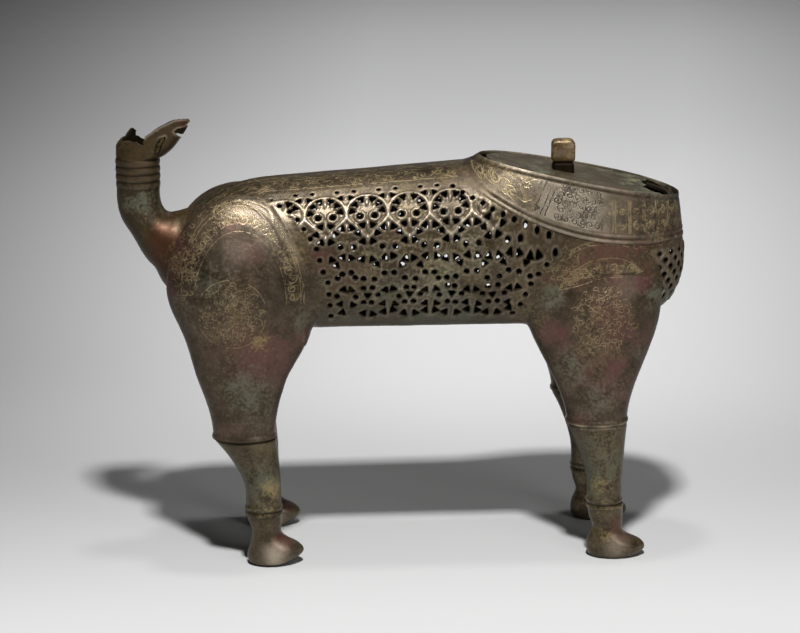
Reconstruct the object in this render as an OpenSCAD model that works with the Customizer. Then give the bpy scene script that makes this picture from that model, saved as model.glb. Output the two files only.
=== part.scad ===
// Lion incense burner: a hollow cast lion on four legs, with pierced flanks, a sloping
// neck mouth closed by a loose cover plate, and a fire bowl inside.
// X runs from the tail to the breast, Y across, Z up, and the soles stand on Z = 0.

/* [Trunk] */
// Length of the trunk from rump to breast
trunk_len = 412; // [395:1:425]
// Width of the trunk at its widest
trunk_w = 104; // [98:1:110]
// Height of the back line over the origin
back_h = 310.5; // [306:0.5:314]
// Rise of the back line towards the neck, in degrees
back_tilt = 4.2; // [3.5:0.1:4.8]
// Height at which the trunk is widest
flank_h = 245; // [240:1:250]
// Height of the belly over the floor
belly_h = 184; // [178:1:188]
// Length of the rounded rump
rump_round = 84; // [76:1:90]
// Length of the rounded breast, seen from the side
breast_round = 75; // [70:1:82]
// Length of the rounded breast, seen from above
breast_taper = 95; // [88:1:102]
// Backward lean of the upper breast, in mm per mm of height
breast_lean = 0.14; // [0.08:0.01:0.18]
// Wall of the cast shells
wall = 3; // [2.5:0.1:3.6]

/* [Neck] */
// How far behind the breast the neck starts to rise out of the back
neck_set = 179; // [175:1:183]
// Steepness of the neck wall, in mm of rise per mm of length
neck_flare = 0.66; // [0.6:0.01:0.75]
// Length over which that rise eases in
neck_ease = 20; // [16:1:24]
// How far behind the breast the middle of the neck rim lies
rim_set = 80; // [75:1:85]
// Height of the rim there
rim_h = 302.5; // [299:0.5:305]
// Slope of the rim towards the breast, in degrees
rim_tilt = 11.2; // [10:0.1:12.5]
// Height of the collar's lower border on the breast
border_h = 254; // [250:0.5:257]
// How far behind the breast that border crosses the back
border_back_set = 191; // [186:1:196]
// How far behind the breast it levels out on the shoulder
border_front_set = 25; // [15:1:35]
// How proud of the trunk the collar stands
collar_proud = 1.2; // [0.8:0.1:1.8]
// Width of the ledge that carries the cover
ledge_w = 5; // [4:0.5:7]
// Thickness of that ledge
ledge_t = 2.5; // [2:0.1:3.5]

/* [Cover] */
// Thickness of the cover plate
cover_t = 2.6; // [2:0.1:3.2]
// How deep the plate lies under the rim
cover_recess = 0.8; // [0.5:0.1:1.5]
// Play between the plate and the neck wall
cover_play = 0.8; // [0.6:0.1:1.2]
// How far behind the breast the plate's broken front edge lies
cover_break_set = 32; // [27:1:39]
// How far behind the breast the lug stands
lug_set = 97.5; // [91:0.5:105]
// Length of the lug along the trunk
lug_len = 17; // [15:0.5:19]
// Thickness of the lug across the trunk
lug_w = 14; // [12:0.5:16]
// Height of the lug over the plate
lug_h = 25; // [22:0.5:28]
// Rounding of the lug's top corners
lug_round = 5.5; // [4:0.5:6]
// Depth of the groove round the lug's base
lug_groove = 1.2; // [0.8:0.1:1.6]
// Height of the lug's base under its head
lug_base_h = 6; // [5:0.5:7]
// Diameter of the rivet that holds the lug
rivet_d = 6; // [5:0.5:7]
// Diameter of the rivet's head
rivet_head_d = 11; // [9:0.5:13]
// Height of the rivet's head
rivet_head_h = 2; // [1.5:0.1:2.5]
// How far the rivet reaches into the lug
rivet_up = 11; // [9:0.5:14]
// Play between the rivet and its bores
rivet_play = 0.15; // [0.1:0.05:0.25]

/* [Openwork] */
// Distance between the openwork's roundels along the flank
cell = 32.5; // [30:0.5:36]
// Distance between its rows
row_step = 28; // [26:0.5:31]
// Height of the uppermost row
row_top_h = 281; // [278:0.5:284]
// Width of one piercing
hole_w = 5; // [4:0.1:5.5]
// Plain band kept between the openwork and its neighbours
plain_band = 8; // [6:0.5:10]

/* [Belly plate] */
// Length of the plate that closes the belly
belly_len = 152; // [140:1:160]
// Place of its middle along the trunk
belly_x = 15; // [5:1:25]
// Width of the plate
belly_w = 48; // [42:1:52]
// Thickness of the plate in the middle
belly_t = 6; // [5:0.2:7]

/* [Legs] */
// Distance from the trunk's widest line in to the leg axis
leg_inset = 6; // [4:0.5:8]
// Height of the ankle joint
ankle_h = 45; // [42:1:48]
// Length of the leg's knee, along the trunk
knee_len = 49; // [46:1:52]
// Thickness of the knee across the trunk
knee_w = 36; // [32:1:40]
// Length of the slim part over the ankle
ankle_len = 28; // [26:1:30]
// Thickness of the slim part across the trunk
ankle_w = 26; // [24:1:28]
// Height of the ridge of each ankle ring
ring_proud = 1.8; // [1:0.1:2.4]
// Height of one ankle ring
ring_h = 5; // [4:0.5:6]
// Height of the pin between shank and foot
ankle_pin_h = 7; // [5:0.5:9]
// Metal left round that pin
ankle_pin_wall = 5; // [4:0.5:6]
// Lip of the thigh round the knee joint
knee_lip = 1.2; // [0.8:0.1:1.8]
// How far the knee stands ahead of the thigh's middle
knee_shift = 2.5; // [1:0.5:4]
// Thickness of the thigh across the trunk
thigh_w = 52; // [48:1:56]
// Flare of the haunch into the belly
haunch_flare = 5; // [3:0.5:7]
// Length of the tenon in the knee
tenon_h = 12; // [8:1:16]
// Length of the foot over the floor
foot_len = 47; // [43:1:50]
// Width of the foot
foot_w = 31; // [28:1:34]

/* [Hind legs] */
// How far ahead of the rump the haunch stands
haunch_set = 57; // [53:1:61]
// Length of the haunch
haunch_len = 112; // [106:1:118]
// Height of the haunch's widest line
haunch_h = 224; // [218:1:228]
// How proud of the trunk's side the haunch stands
haunch_proud = 10; // [8:0.5:12]
// Height of the haunch's dome over that line
haunch_dome = 69; // [64:1:73]
// Height of the hind knee joint
hind_knee_h = 105; // [101:1:109]
// How far ahead of the haunch the hind ankle stands
hind_ankle_set = 17; // [13:1:21]

/* [Fore legs] */
// How far behind the breast the shoulder stands
shoulder_set = 77; // [73:1:81]
// Length of the shoulder
shoulder_len = 108; // [102:1:114]
// Height of the shoulder's widest line
shoulder_h = 205; // [200:1:210]
// How proud of the trunk's side the shoulder stands
shoulder_proud = 7; // [5:0.5:9]
// Height of the shoulder's dome over that line
shoulder_dome = 47; // [42:1:52]
// Height of the fore knee joint
fore_knee_h = 112; // [108:1:116]
// How far ahead of the shoulder the fore ankle stands
fore_ankle_set = 10; // [6:0.5:13]

/* [Tail] */
// How far behind the rump the tail reaches
tail_reach = 38; // [35:1:43]
// Diameter of the tail's stem
tail_d = 34; // [30:1:36]
// Diameter of the tail's root
tail_root_d = 54; // [50:1:58]
// Height of the tail's root on the rump
tail_root_h = 254; // [252:1:255]
// Height of the joint between stem and finial
tail_joint_h = 320; // [314:1:326]
// Height of the ridge of each tail rib
rib_proud = 1.5; // [1:0.1:2]
// Pitch of the tail ribs
rib_pitch = 6; // [5.5:0.1:6.5]
// Height of the broken finial over the joint
finial_h = 32; // [28:1:35]
// How far the finial leans towards the back
finial_lean = 41; // [36:1:44]
// Wall of the hollow finial
finial_wall = 4; // [3:0.1:5]

/* [Fire bowl] */
// Diameter of the fire bowl at its rim
bowl_d = 72; // [64:1:74]
// Diameter of the bowl's foot
bowl_foot_d = 34; // [28:1:38]
// Height of the bowl
bowl_h = 24; // [20:1:28]
// Wall of the bowl
bowl_wall = 2.4; // [2:0.1:3]
// Place of the bowl's middle along the trunk
bowl_x = -10; // [-20:1:0]

/* [Fits] */
// Gap at soldered seams
seam = 0.2; // [0.15:0.05:0.3]
// Play under the loose pieces
loose_play = 0.3; // [0.25:0.05:0.4]

/* [Hidden] */

BRONZE = [0.33, 0.27, 0.19];
REDDISH = [0.37, 0.24, 0.18];
GREENISH = [0.34, 0.33, 0.25];
GREY = [0.40, 0.40, 0.35];
IRON = [0.25, 0.24, 0.23];

BIG = 600;
OVERCUT = 1;
SECTION_SIDES = 36;
LIMB_SIDES = 22;
LIMB_STEPS = 8;
END_STEPS = 6;
BREAST_STEPS = 9;
BELLY_POWER = 2.7;
BREAST_TOP_POWER = 4;
BREAST_DROP_POWER = 2.8;
BREAST_PLAN_POWER = 2.2;
BORDER_POWER = 2.25;
SHANK_POWER = 1.6;
WEB_REACH = 36;
DOME_SHIFT = 6;
RIM_STEPS = 48;
RIM_MIN_HALF = 2;
BORDER_STEP = 10;
BORDER_MARGIN = 50;
NECK_STATIONS = [0, 6, 14, 24, 38, 58];
SHANK_NECK_RISE = 15;
SHANK_STEPS = 7;
RING_EDGE = 0.3;
RING_ROWS = [0, 0.3, 0.7, 1];
TAIL_STEPS = 10;
TAIL_RIBS = 4;
TAIL_BURY = 22;
TAIL_BOW = 12;
TAIL_SAG = 4;
TAIL_LIFT = 16;
TAIL_POWER = 1.7;
FINIAL_STEPS = 8;
FINIAL_FLARE = 0.41;
FINIAL_SLIM = 0.12;
BOWL_KNEE = 0.55;
EYE_SHARE = 0.19;
FAN_SHARE = 0.36;
FAN_ANGLES = [-50, 0, 50, 155, 205];

trunk_half = trunk_w / 2;
breast_x = (trunk_len + tail_reach) / 2;
rump_x = breast_x - trunk_len;
tail_x = rump_x - tail_reach;
neck_x = breast_x - neck_set;
rim_x = breast_x - rim_set;
border_back_x = breast_x - border_back_set;
border_front_x = breast_x - border_front_set;
cover_break_x = breast_x - cover_break_set;
lug_x = breast_x - lug_set;
haunch_x = rump_x + haunch_set;
hind_ankle_x = haunch_x + hind_ankle_set;
shoulder_x = breast_x - shoulder_set;
fore_ankle_x = shoulder_x + fore_ankle_set;
leg_y = trunk_half - leg_inset;
belly_top = belly_h + belly_t;
border_drop = top_line(border_back_x) - border_h;
shank_neck_h = ankle_h + SHANK_NECK_RISE;
ankle_pin_a = ankle_len / 2 - ankle_pin_wall;
ankle_pin_b = ankle_w / 2 - ankle_pin_wall;
tail_top_x = tail_x + tail_d / 2 + rib_proud;
cover_top = -cover_recess;
lug_u = (lug_x - rim_x) / cos(rim_tilt);
edge_band = 1.7 * plain_band;

// Rings of points and the chain of segments between them
function smooth(t) = let(c = min(1, max(0, t))) c * c * (3 - 2 * c);
function clamp01(t) = min(1, max(0, t));
function round_end(t, power) = pow(max(0, 1 - pow(clamp01(t), power)), 1 / power);
function ellipse_ring(cx, cy, z, a, b, sides) =
    [for (i = [0:sides - 1]) let(t = 360 * i / sides) [cx + a * cos(t), cy + b * sin(t), z]];

module segment(a, b) {
    points = concat(a, b);
    hull() polyhedron(points, [[for (i = [0:len(points) - 1]) i]]);
}
module chain(rings) {
    for (i = [0:len(rings) - 2]) segment(rings[i], rings[i + 1]);
}

// The trunk's skin, grown by g: height of its top, half width, and one section
function neck_rise(x) = let(d = max(0, x - neck_x)) neck_flare * d * d / (d + neck_ease);
function top_line(x) = back_h + x * tan(back_tilt) + neck_rise(x);
function rump_t(x, g) = (rump_x + rump_round - x) / (rump_round + g);
function side_share(x, g, power) =
    round_end(rump_t(x, g), 2)
    * round_end((x - breast_x + breast_round) / (breast_round + g), power);
function plan_share(x, g) =
    round_end(rump_t(x, g), 2)
    * round_end((x - breast_x + breast_taper) / (breast_taper + g), BREAST_PLAN_POWER);
function skin_half(x, g) = (trunk_half + g) * plan_share(x, g);
function skin_top(x, g) = (top_line(x) - flank_h + g) * side_share(x, g, BREAST_TOP_POWER);
function skin_drop(x, g) = (flank_h - belly_h + g) * side_share(x, g, BREAST_DROP_POWER);
function signed_power(v, p) = sign(v) * pow(abs(v), p);
function lean(x, z) =
    let(share = clamp01((x - breast_x + breast_taper) / breast_taper))
    breast_lean * max(0, z - flank_h) * share * share;
function skin_point(x, g, t) =
    let(z = flank_h + skin_top(x, g) * sin(t))
    sin(t) >= 0
        ? [x - lean(x, min(z, rim_h)), skin_half(x, g) * cos(t), z]
        : [x, skin_half(x, g) * signed_power(cos(t), 2 / BELLY_POWER),
           flank_h + skin_drop(x, g) * signed_power(sin(t), 2 / BELLY_POWER)];
function skin_ring(x, g) =
    [for (i = [0:SECTION_SIDES - 1]) skin_point(x, g, 360 * i / SECTION_SIDES)];
function skin_stations(g) = concat(
    [for (i = [0:END_STEPS]) rump_x + rump_round - (rump_round + g) * cos(90 * i / END_STEPS)],
    [for (d = NECK_STATIONS) neck_x + d],
    [for (i = [0:BREAST_STEPS])
        breast_x - breast_taper + (breast_taper + g) * sin(90 * i / BREAST_STEPS)]
);
module skin(g) chain([for (x = skin_stations(g)) skin_ring(x, g)]);

// The neck rim's sloping plane, its outline inside the wall, and the collar's border
function rim_z(x) = rim_h - (x - rim_x) * tan(rim_tilt);
function neck_half(x, g) =
    let(s = (rim_z(x) - flank_h) / skin_top(x, g)) s < 1 ? skin_half(x, g) * sqrt(1 - s * s) : 0;
function neck_side(g) = [
    for (i = [0:RIM_STEPS])
        let(x = neck_x + (breast_x - neck_x) * sin(90 * i / RIM_STEPS), y = neck_half(x, g))
        if (y > RIM_MIN_HALF) [(x - lean(x, rim_z(x)) - rim_x) / cos(rim_tilt), y]
];
function mirrored(side) = concat(side, [for (i = [len(side) - 1:-1:0]) [side[i][0], -side[i][1]]]);
function border_z(x) =
    let(share = max(0, border_front_x - x) / (border_front_x - border_back_x))
    border_h + border_drop * pow(share, BORDER_POWER);

module on_rim() translate([rim_x, 0, rim_h]) rotate([0, rim_tilt, 0]) children();
module over_rim() on_rim() translate([-BIG / 2, -BIG / 2, 0]) cube(BIG);
module over_border(shift) {
    back = border_back_x - BORDER_MARGIN;
    front = breast_x + BORDER_MARGIN;
    line = [for (x = [back:BORDER_STEP:front]) [x, border_z(x) + shift]];
    ahead = line[len(line) - 1][0];
    rotate([90, 0, 0])
        linear_extrude(BIG, center = true) polygon(concat(line, [[ahead, BIG], [back, BIG]]));
}

// The thigh: rings from the knee up to the dome, open at the knee and against the trunk
module oval(a, b, h)
    linear_extrude(h) polygon([for (p = ellipse_ring(0, 0, 0, a, b, LIMB_SIDES)) [p[0], p[1]]]);
function thigh_rings(x, length, knee_h, mid_h, dome, proud, flare, g) =
    let(hip_y = trunk_half + proud - thigh_w / 2)
    concat(
        [for (i = [0:LIMB_STEPS])
            let(open_end = i == 0 && g < 0 ? OVERCUT : 0,
                z = knee_h + (mid_h - knee_h) * i / LIMB_STEPS - open_end,
                s = smooth(i / LIMB_STEPS),
                web = flare * smooth(1 - abs(z - belly_h) / WEB_REACH))
            ellipse_ring(x + knee_shift * (1 - s) + web, leg_y + (hip_y - leg_y) * s, z,
                knee_len / 2 + (length - knee_len) / 2 * s + abs(web) / 4 + g,
                knee_w / 2 + (thigh_w - knee_w) / 2 * s + g, LIMB_SIDES)],
        [for (i = [1:END_STEPS])
            let(t = 90 * i / END_STEPS)
            ellipse_ring(x, hip_y - DOME_SHIFT * sin(t), mid_h + (dome + g) * sin(t),
                (length / 2 + g) * cos(t), (thigh_w / 2 + g) * cos(t), LIMB_SIDES)]
    );
module thigh(x, length, knee_h, mid_h, dome, proud, flare)
    difference() {
        union() {
            chain(thigh_rings(x, length, knee_h, mid_h, dome, proud, flare, 0));
            translate([x + knee_shift, leg_y, knee_h])
                oval(knee_len / 2 + knee_lip, knee_w / 2 + knee_lip, 3 * knee_lip);
        }
        chain(thigh_rings(x, length, knee_h, mid_h, dome, proud, flare, -wall));
        skin(seam);
    }

// The shank: from the knee's tenon to the ankle ring
function shank_ring(knee_x, knee_h, ankle_x, z, g) =
    let(s = pow(clamp01((z - shank_neck_h) / (knee_h - shank_neck_h)), SHANK_POWER))
    ellipse_ring(ankle_x + (knee_x - ankle_x) * s, leg_y, z,
        ankle_len / 2 + (knee_len - ankle_len) / 2 * s + g,
        ankle_w / 2 + (knee_w - ankle_w) / 2 * s + g, LIMB_SIDES);
module shank(knee_x, knee_h, ankle_x) {
    low = ankle_h + seam / 2;
    high = knee_h - seam;
    zs = concat(
        [for (k = RING_ROWS) low + k * ring_h],
        [for (i = [1:SHANK_STEPS]) low + ring_h + (high - low - ring_h) * i / SHANK_STEPS]
    );
    gs = concat([RING_EDGE, ring_proud, ring_proud, 0], [for (i = [1:SHANK_STEPS]) 0]);
    difference() {
        union() {
            chain([for (i = [0:len(zs) - 1]) shank_ring(knee_x, knee_h, ankle_x, zs[i], gs[i])]);
            translate([knee_x, leg_y, high - OVERCUT])
                oval(knee_len / 2 - wall - loose_play, knee_w / 2 - wall - loose_play, tenon_h + OVERCUT);
        }
        translate([ankle_x, leg_y, low - OVERCUT])
            oval(ankle_pin_a + loose_play, ankle_pin_b + loose_play, ankle_pin_h + OVERCUT + loose_play);
    }
}

// The foot: ankle ring, slim neck and a flat sole with the toe ahead.
// Each row holds a height, half a length, the middle along the trunk and half a width.
module foot(ankle_x) {
    high = ankle_h - seam / 2;
    heel = ankle_x - ankle_len * 0.46;
    rows = [
        [0, foot_len * 0.36, heel + foot_len * 0.43, foot_w * 0.36],
        [ankle_h * 0.056, foot_len * 0.45, heel + foot_len * 0.47, foot_w * 0.45],
        [ankle_h * 0.18, foot_len / 2, heel + foot_len / 2, foot_w / 2],
        [ankle_h * 0.29, foot_len * 0.44, heel + foot_len * 0.45, foot_w * 0.46],
        [ankle_h * 0.38, ankle_len * 0.52, ankle_x + ankle_len * 0.04, ankle_w * 0.5],
        [ankle_h * 0.51, ankle_len * 0.45, ankle_x + ankle_len * 0.04, ankle_w * 0.44],
        [ankle_h * 0.67, ankle_len * 0.49, ankle_x, ankle_w * 0.48],
        [high - ring_h, ankle_len / 2, ankle_x, ankle_w / 2],
        [high - ring_h * RING_ROWS[2], ankle_len / 2 + ring_proud, ankle_x, ankle_w / 2 + ring_proud],
        [high - ring_h * RING_ROWS[1], ankle_len / 2 + ring_proud, ankle_x, ankle_w / 2 + ring_proud],
        [high, ankle_len / 2 + RING_EDGE, ankle_x, ankle_w / 2 + RING_EDGE]
    ];
    chain([for (r = rows) ellipse_ring(r[2], leg_y, r[0], r[1], r[3], LIMB_SIDES)]);
    translate([ankle_x, leg_y, high - OVERCUT]) oval(ankle_pin_a, ankle_pin_b, ankle_pin_h + OVERCUT);
}

// The tail: a stem that curves up out of the rump, ribbed under its joint
function bezier(p, t) =
    pow(1 - t, 3) * p[0] + 3 * t * pow(1 - t, 2) * p[1]
    + 3 * t * t * (1 - t) * p[2] + pow(t, 3) * p[3];
tail_curve = [
    [rump_x + TAIL_BURY, tail_root_h - TAIL_SAG],
    [rump_x - TAIL_BOW, tail_root_h - TAIL_SAG],
    [tail_top_x - TAIL_SAG / 2, tail_root_h + TAIL_LIFT],
    [tail_top_x, tail_joint_h - TAIL_RIBS * rib_pitch]
];
function tail_ring(c, along, r) =
    [for (i = [0:LIMB_SIDES - 1])
        let(t = 360 * i / LIMB_SIDES)
        [c[0] - along[1] * r * cos(t), r * sin(t), c[1] + along[0] * r * cos(t)]];
function tail_rings() = concat(
    [for (i = [0:TAIL_STEPS - 1])
        let(t = i / TAIL_STEPS, c = bezier(tail_curve, t), d = bezier(tail_curve, t + 0.01) - c)
        tail_ring(c, d / norm(d), tail_d / 2 + (tail_root_d - tail_d) / 2 * pow(1 - t, TAIL_POWER))],
    [for (i = [0:TAIL_RIBS - 1], k = RING_ROWS)
        tail_ring([tail_top_x, tail_joint_h - (TAIL_RIBS - i - k * 0.98) * rib_pitch - seam / 2], [0, 1],
            tail_d / 2 + (k > 0 && k < 1 ? rib_proud : 0))]
);

// Sub-parts
module trunk_shell() color(BRONZE)
    difference() {
        skin(0);
        skin(-wall);
        over_border(-seam);
        translate([belly_x - belly_len / 2 - seam, -belly_w / 2 - seam, 0])
            cube([belly_len + 2 * seam, belly_w + 2 * seam, belly_top + wall]);
        openwork();
    }

function off_thigh(x, z, cx, len, mid_h, dome) =
    let(h = z > mid_h ? dome : mid_h - belly_h + len / 4)
    norm([(x - cx) / (len / 2 + plain_band), (z - mid_h) / (h + plain_band)]) > 1;
function pierced(x, z) =
    z < top_line(x) - edge_band
    && z > belly_h + edge_band
    && z < border_z(x) - plain_band
    && x > haunch_x
    && x < shoulder_x
    && off_thigh(x, z, haunch_x, haunch_len, haunch_h, haunch_dome)
    && off_thigh(x, z, shoulder_x, shoulder_len, shoulder_h, shoulder_dome);
module openwork() {
    eye = cell * EYE_SHARE;
    fan = cell * FAN_SHARE;
    spots = concat(
        [[-eye, 0, 0], [eye, 0, 0]],
        [for (a = FAN_ANGLES) [fan * sin(a), fan * cos(a), a]]
    );
    for (row = [0:3], col = [-5:6], s = spots) {
        x = (col + (row % 2) / 2) * cell + s[0];
        z = row_top_h - row * row_step + s[1];
        if (pierced(x, z))
            translate([x, 0, z]) rotate([90, 0, 0]) rotate(-s[2])
                linear_extrude(BIG, center = true) polygon(piercing());
    }
}
function piercing() =
    [[0, -hole_w * 0.6], [hole_w / 2, hole_w * 0.15], [0, hole_w * 0.55], [-hole_w / 2, hole_w * 0.15]];

module neck_collar() color(GREENISH)
    intersection() {
        difference() {
            skin(collar_proud);
            difference() {
                skin(-wall);
                ledge();
            }
            over_rim();
        }
        over_border(0);
    }
module ledge() {
    depth = cover_recess + cover_t + loose_play;
    on_rim() translate([0, 0, -depth - ledge_t])
        difference() {
            linear_extrude(ledge_t) square(BIG, center = true);
            translate([0, 0, -OVERCUT])
                linear_extrude(ledge_t + 2 * OVERCUT) polygon(mirrored(neck_side(-wall - ledge_w)));
        }
}

module belly_plate() color(BRONZE)
    intersection() {
        skin(0);
        translate([belly_x - belly_len / 2, -belly_w / 2, 0]) cube([belly_len, belly_w, belly_top]);
    }

module haunch()
    thigh(haunch_x, haunch_len, hind_knee_h, haunch_h, haunch_dome, haunch_proud, haunch_flare);
module shoulder()
    thigh(shoulder_x, shoulder_len, fore_knee_h, shoulder_h, shoulder_dome, shoulder_proud, 0);
module right_side() mirror([0, 1, 0]) children();
module right_haunch() color(REDDISH) right_side() haunch();
module left_haunch() color(REDDISH) haunch();
module right_shoulder() color(REDDISH) right_side() shoulder();
module left_shoulder() color(REDDISH) shoulder();

module hind_shank() shank(haunch_x + knee_shift, hind_knee_h, hind_ankle_x);
module fore_shank() shank(shoulder_x + knee_shift, fore_knee_h, fore_ankle_x);
module right_hind_shank() color(BRONZE) right_side() hind_shank();
module left_hind_shank() color(BRONZE) hind_shank();
module right_fore_shank() color(BRONZE) right_side() fore_shank();
module left_fore_shank() color(BRONZE) fore_shank();

module right_hind_foot() color(REDDISH) right_side() foot(hind_ankle_x);
module left_hind_foot() color(REDDISH) foot(hind_ankle_x);
module right_fore_foot() color(REDDISH) right_side() foot(fore_ankle_x);
module left_fore_foot() color(REDDISH) foot(fore_ankle_x);

module tail_stem() color(REDDISH)
    difference() {
        chain(tail_rings());
        skin(seam);
    }

// The finial: a hollow flaring end, broken off along its upper edge
module tail_finial() color(BRONZE)
    translate([tail_top_x, 0, tail_joint_h + seam / 2])
        intersection() {
            difference() {
                finial_horn(0);
                translate([0, 0, finial_wall]) finial_horn(-finial_wall);
            }
            rotate([90, 0, 0])
                linear_extrude(BIG, center = true)
                    difference() {
                        polygon(finial_outline());
                        polygon(finial_slot());
                    }
        }
function finial_outline() = [
    [-tail_d, -OVERCUT], [-tail_d * 0.52, finial_h * 0.1], [-tail_d * 0.31, finial_h * 0.47],
    [-tail_d * 0.1, finial_h * 0.66], [tail_d * 0.07, finial_h * 0.44], [tail_d * 0.22, finial_h * 0.34],
    [tail_d * 0.43, finial_h * 0.72], [tail_d * 0.8, finial_h * 0.94], [finial_lean * 0.95, finial_h],
    [finial_lean, finial_h * 0.84], [tail_d * 0.9, finial_h * 0.6], [tail_d, finial_h * 0.38],
    [tail_d * 0.84, finial_h * 0.16], [tail_d * 0.6, -OVERCUT]
];
function finial_slot() = [
    [tail_d * 0.4, finial_h * 0.1], [tail_d * 0.52, finial_h * 0.08],
    [tail_d * 0.74, finial_h * 0.5], [tail_d * 0.6, finial_h * 0.52]
];
module finial_horn(g) chain([
    for (i = [0:FINIAL_STEPS])
        let(t = i / FINIAL_STEPS, flare = FINIAL_FLARE * pow(t, 0.6))
        ellipse_ring(tail_d * flare, 0, finial_h * t + (i == FINIAL_STEPS ? OVERCUT : 0),
            tail_d * (0.5 + flare) + g, tail_d * (0.5 - FINIAL_SLIM * t) + g, LIMB_SIDES)
]);

// The cover, its lug and the rivet between them
module neck_cover() color(GREY)
    on_rim() difference() {
        translate([0, 0, cover_top - cover_t])
            linear_extrude(cover_t) polygon(mirrored(neck_side(-wall - cover_play)));
        translate([0, 0, cover_top - cover_t - OVERCUT]) {
            linear_extrude(cover_t + 2 * OVERCUT) polygon(broken_edge());
            translate([lug_u, 0, 0]) cylinder(d = rivet_d + 2 * rivet_play, h = cover_t + 2 * OVERCUT);
        }
    }
function broken_edge() =
    let(u = (cover_break_x - rim_x) / cos(rim_tilt))
    [
        [BIG, -trunk_w], [u + trunk_w * 0.13, -trunk_w], [u + trunk_w * 0.12, -trunk_w * 0.29],
        [u + trunk_w * 0.04, -trunk_w * 0.22], [u - trunk_w * 0.03, -trunk_w * 0.1],
        [u + trunk_w * 0.03, trunk_w * 0.03], [u - trunk_w * 0.02, trunk_w * 0.14],
        [u + trunk_w * 0.07, trunk_w * 0.24], [u + trunk_w * 0.1, trunk_w], [BIG, trunk_w]
    ];
module cover_lug() color(BRONZE)
    on_rim() translate([lug_u, 0, cover_top])
        difference() {
            rotate([0, -rim_tilt, 0]) intersection() {
                rotate([90, 0, 0]) linear_extrude(lug_len * 2, center = true) lug_outline(lug_len);
                rotate([90, 0, 90]) linear_extrude(lug_len * 2, center = true) lug_outline(lug_w);
            }
            translate([-lug_len, -lug_len, -2 * lug_len]) cube(2 * lug_len);
            translate([0, 0, -OVERCUT])
                cylinder(d = rivet_d + 2 * rivet_play, h = rivet_up + OVERCUT + rivet_play);
        }
module lug_outline(width) {
    groove = width - 2 * lug_groove;
    translate([-width / 2, lug_base_h]) square([width, lug_h - lug_base_h - lug_round]);
    translate([-groove / 2, -lug_base_h]) square([groove, lug_base_h * 2.5]);
    translate([lug_round - width / 2, lug_base_h]) square([width - 2 * lug_round, lug_h - lug_base_h]);
    for (side = [-1, 1])
        translate([side * (width / 2 - lug_round), lug_h - lug_round]) circle(r = lug_round, $fn = 48);
}
module lug_rivet() color(IRON)
    on_rim() translate([lug_u, 0, cover_top - cover_t - rivet_head_h]) {
        cylinder(d = rivet_head_d, h = rivet_head_h);
        cylinder(d = rivet_d, h = rivet_head_h + cover_t + rivet_up);
    }

// The fire bowl: a turned dish that stands loose on the belly plate
module fire_bowl() color(IRON)
    translate([bowl_x, 0, belly_top + loose_play])
        rotate_extrude($fn = 72)
            difference() {
                bowl_profile(0);
                bowl_profile(bowl_wall);
            }
module bowl_profile(inset)
    polygon([
        [0, inset], [bowl_foot_d / 2 - inset / 2, inset],
        [bowl_d / 2 - inset, bowl_h * BOWL_KNEE + inset / 2],
        [bowl_d / 2 - inset, bowl_h + inset], [0, bowl_h + inset]
    ]);

trunk_shell();
neck_collar();
belly_plate();
right_haunch();
left_haunch();
right_shoulder();
left_shoulder();
right_hind_shank();
left_hind_shank();
right_fore_shank();
left_fore_shank();
right_hind_foot();
left_hind_foot();
right_fore_foot();
left_fore_foot();
tail_stem();
tail_finial();
neck_cover();
cover_lug();
lug_rivet();
fire_bowl();
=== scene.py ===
"""Looks of the lion incense burner: cast shells, pierced flanks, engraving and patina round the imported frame."""

from __future__ import annotations

import logging
import math
from dataclasses import dataclass, field
from enum import Enum

import bpy
import numpy as np
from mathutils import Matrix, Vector
from mathutils.kdtree import KDTree


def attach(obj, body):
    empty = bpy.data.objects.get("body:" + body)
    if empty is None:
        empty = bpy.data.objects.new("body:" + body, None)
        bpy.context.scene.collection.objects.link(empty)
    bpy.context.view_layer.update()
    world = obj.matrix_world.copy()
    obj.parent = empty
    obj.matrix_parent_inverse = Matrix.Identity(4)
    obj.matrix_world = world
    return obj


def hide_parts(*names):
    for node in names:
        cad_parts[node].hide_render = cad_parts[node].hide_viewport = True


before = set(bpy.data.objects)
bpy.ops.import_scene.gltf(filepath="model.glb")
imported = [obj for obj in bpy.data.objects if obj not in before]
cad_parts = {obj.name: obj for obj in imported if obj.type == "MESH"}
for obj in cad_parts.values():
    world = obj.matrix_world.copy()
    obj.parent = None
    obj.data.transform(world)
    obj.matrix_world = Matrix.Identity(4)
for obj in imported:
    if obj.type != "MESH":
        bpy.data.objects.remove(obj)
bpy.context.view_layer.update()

Array = np.ndarray
Spot = tuple[float, float]  # a place in a flat pattern, or a range
Place = tuple[float, float, float]
Colour = tuple[float, float, float]
Material = bpy.types.Material
MM = 0.001  # a millimetre in metres
FAR = 9.0  # a distance in mm that stands for nowhere near
BACK = "back"  # the layer that holds each point's place on a sheet's other side
INSIDE_DARK = 0.8  # how dark the castings' inner faces are painted: soot, and painted shade inside the hollows
SHARP_EDGE = math.radians(50)  # edges bent by more than this stay sharp
log = logging.getLogger("lion")


class Body(Enum):
    """The CAD bodies that pieces ride on."""

    LION = "lion"
    COVER = "cover"


class Slot(Enum):
    """The record's material slot names, passed along with the pieces made here."""

    BROWN = "bronze_brown"
    RED = "bronze_red"
    GREEN = "bronze_green"
    GREY = "bronze_grey"


class Layer(Enum):
    """Values kept at a mesh's points for the finishes to read."""

    BRIGHT = "bright"
    DARK = "dark"
    RED = "red"
    GREEN = "green"
    OCHRE = "ochre"
    LINE = "line"
    NEAR = "near"

    def blank(self, count: int) -> Array:
        """Values for points that have none: far from any line, and free of the rest."""
        return np.full(count, FAR if self in (Layer.LINE, Layer.NEAR) else 0.0)


class Hole(Enum):
    """Outline of one piercing."""

    ROUND = "round"
    WEDGE = "wedge"


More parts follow.
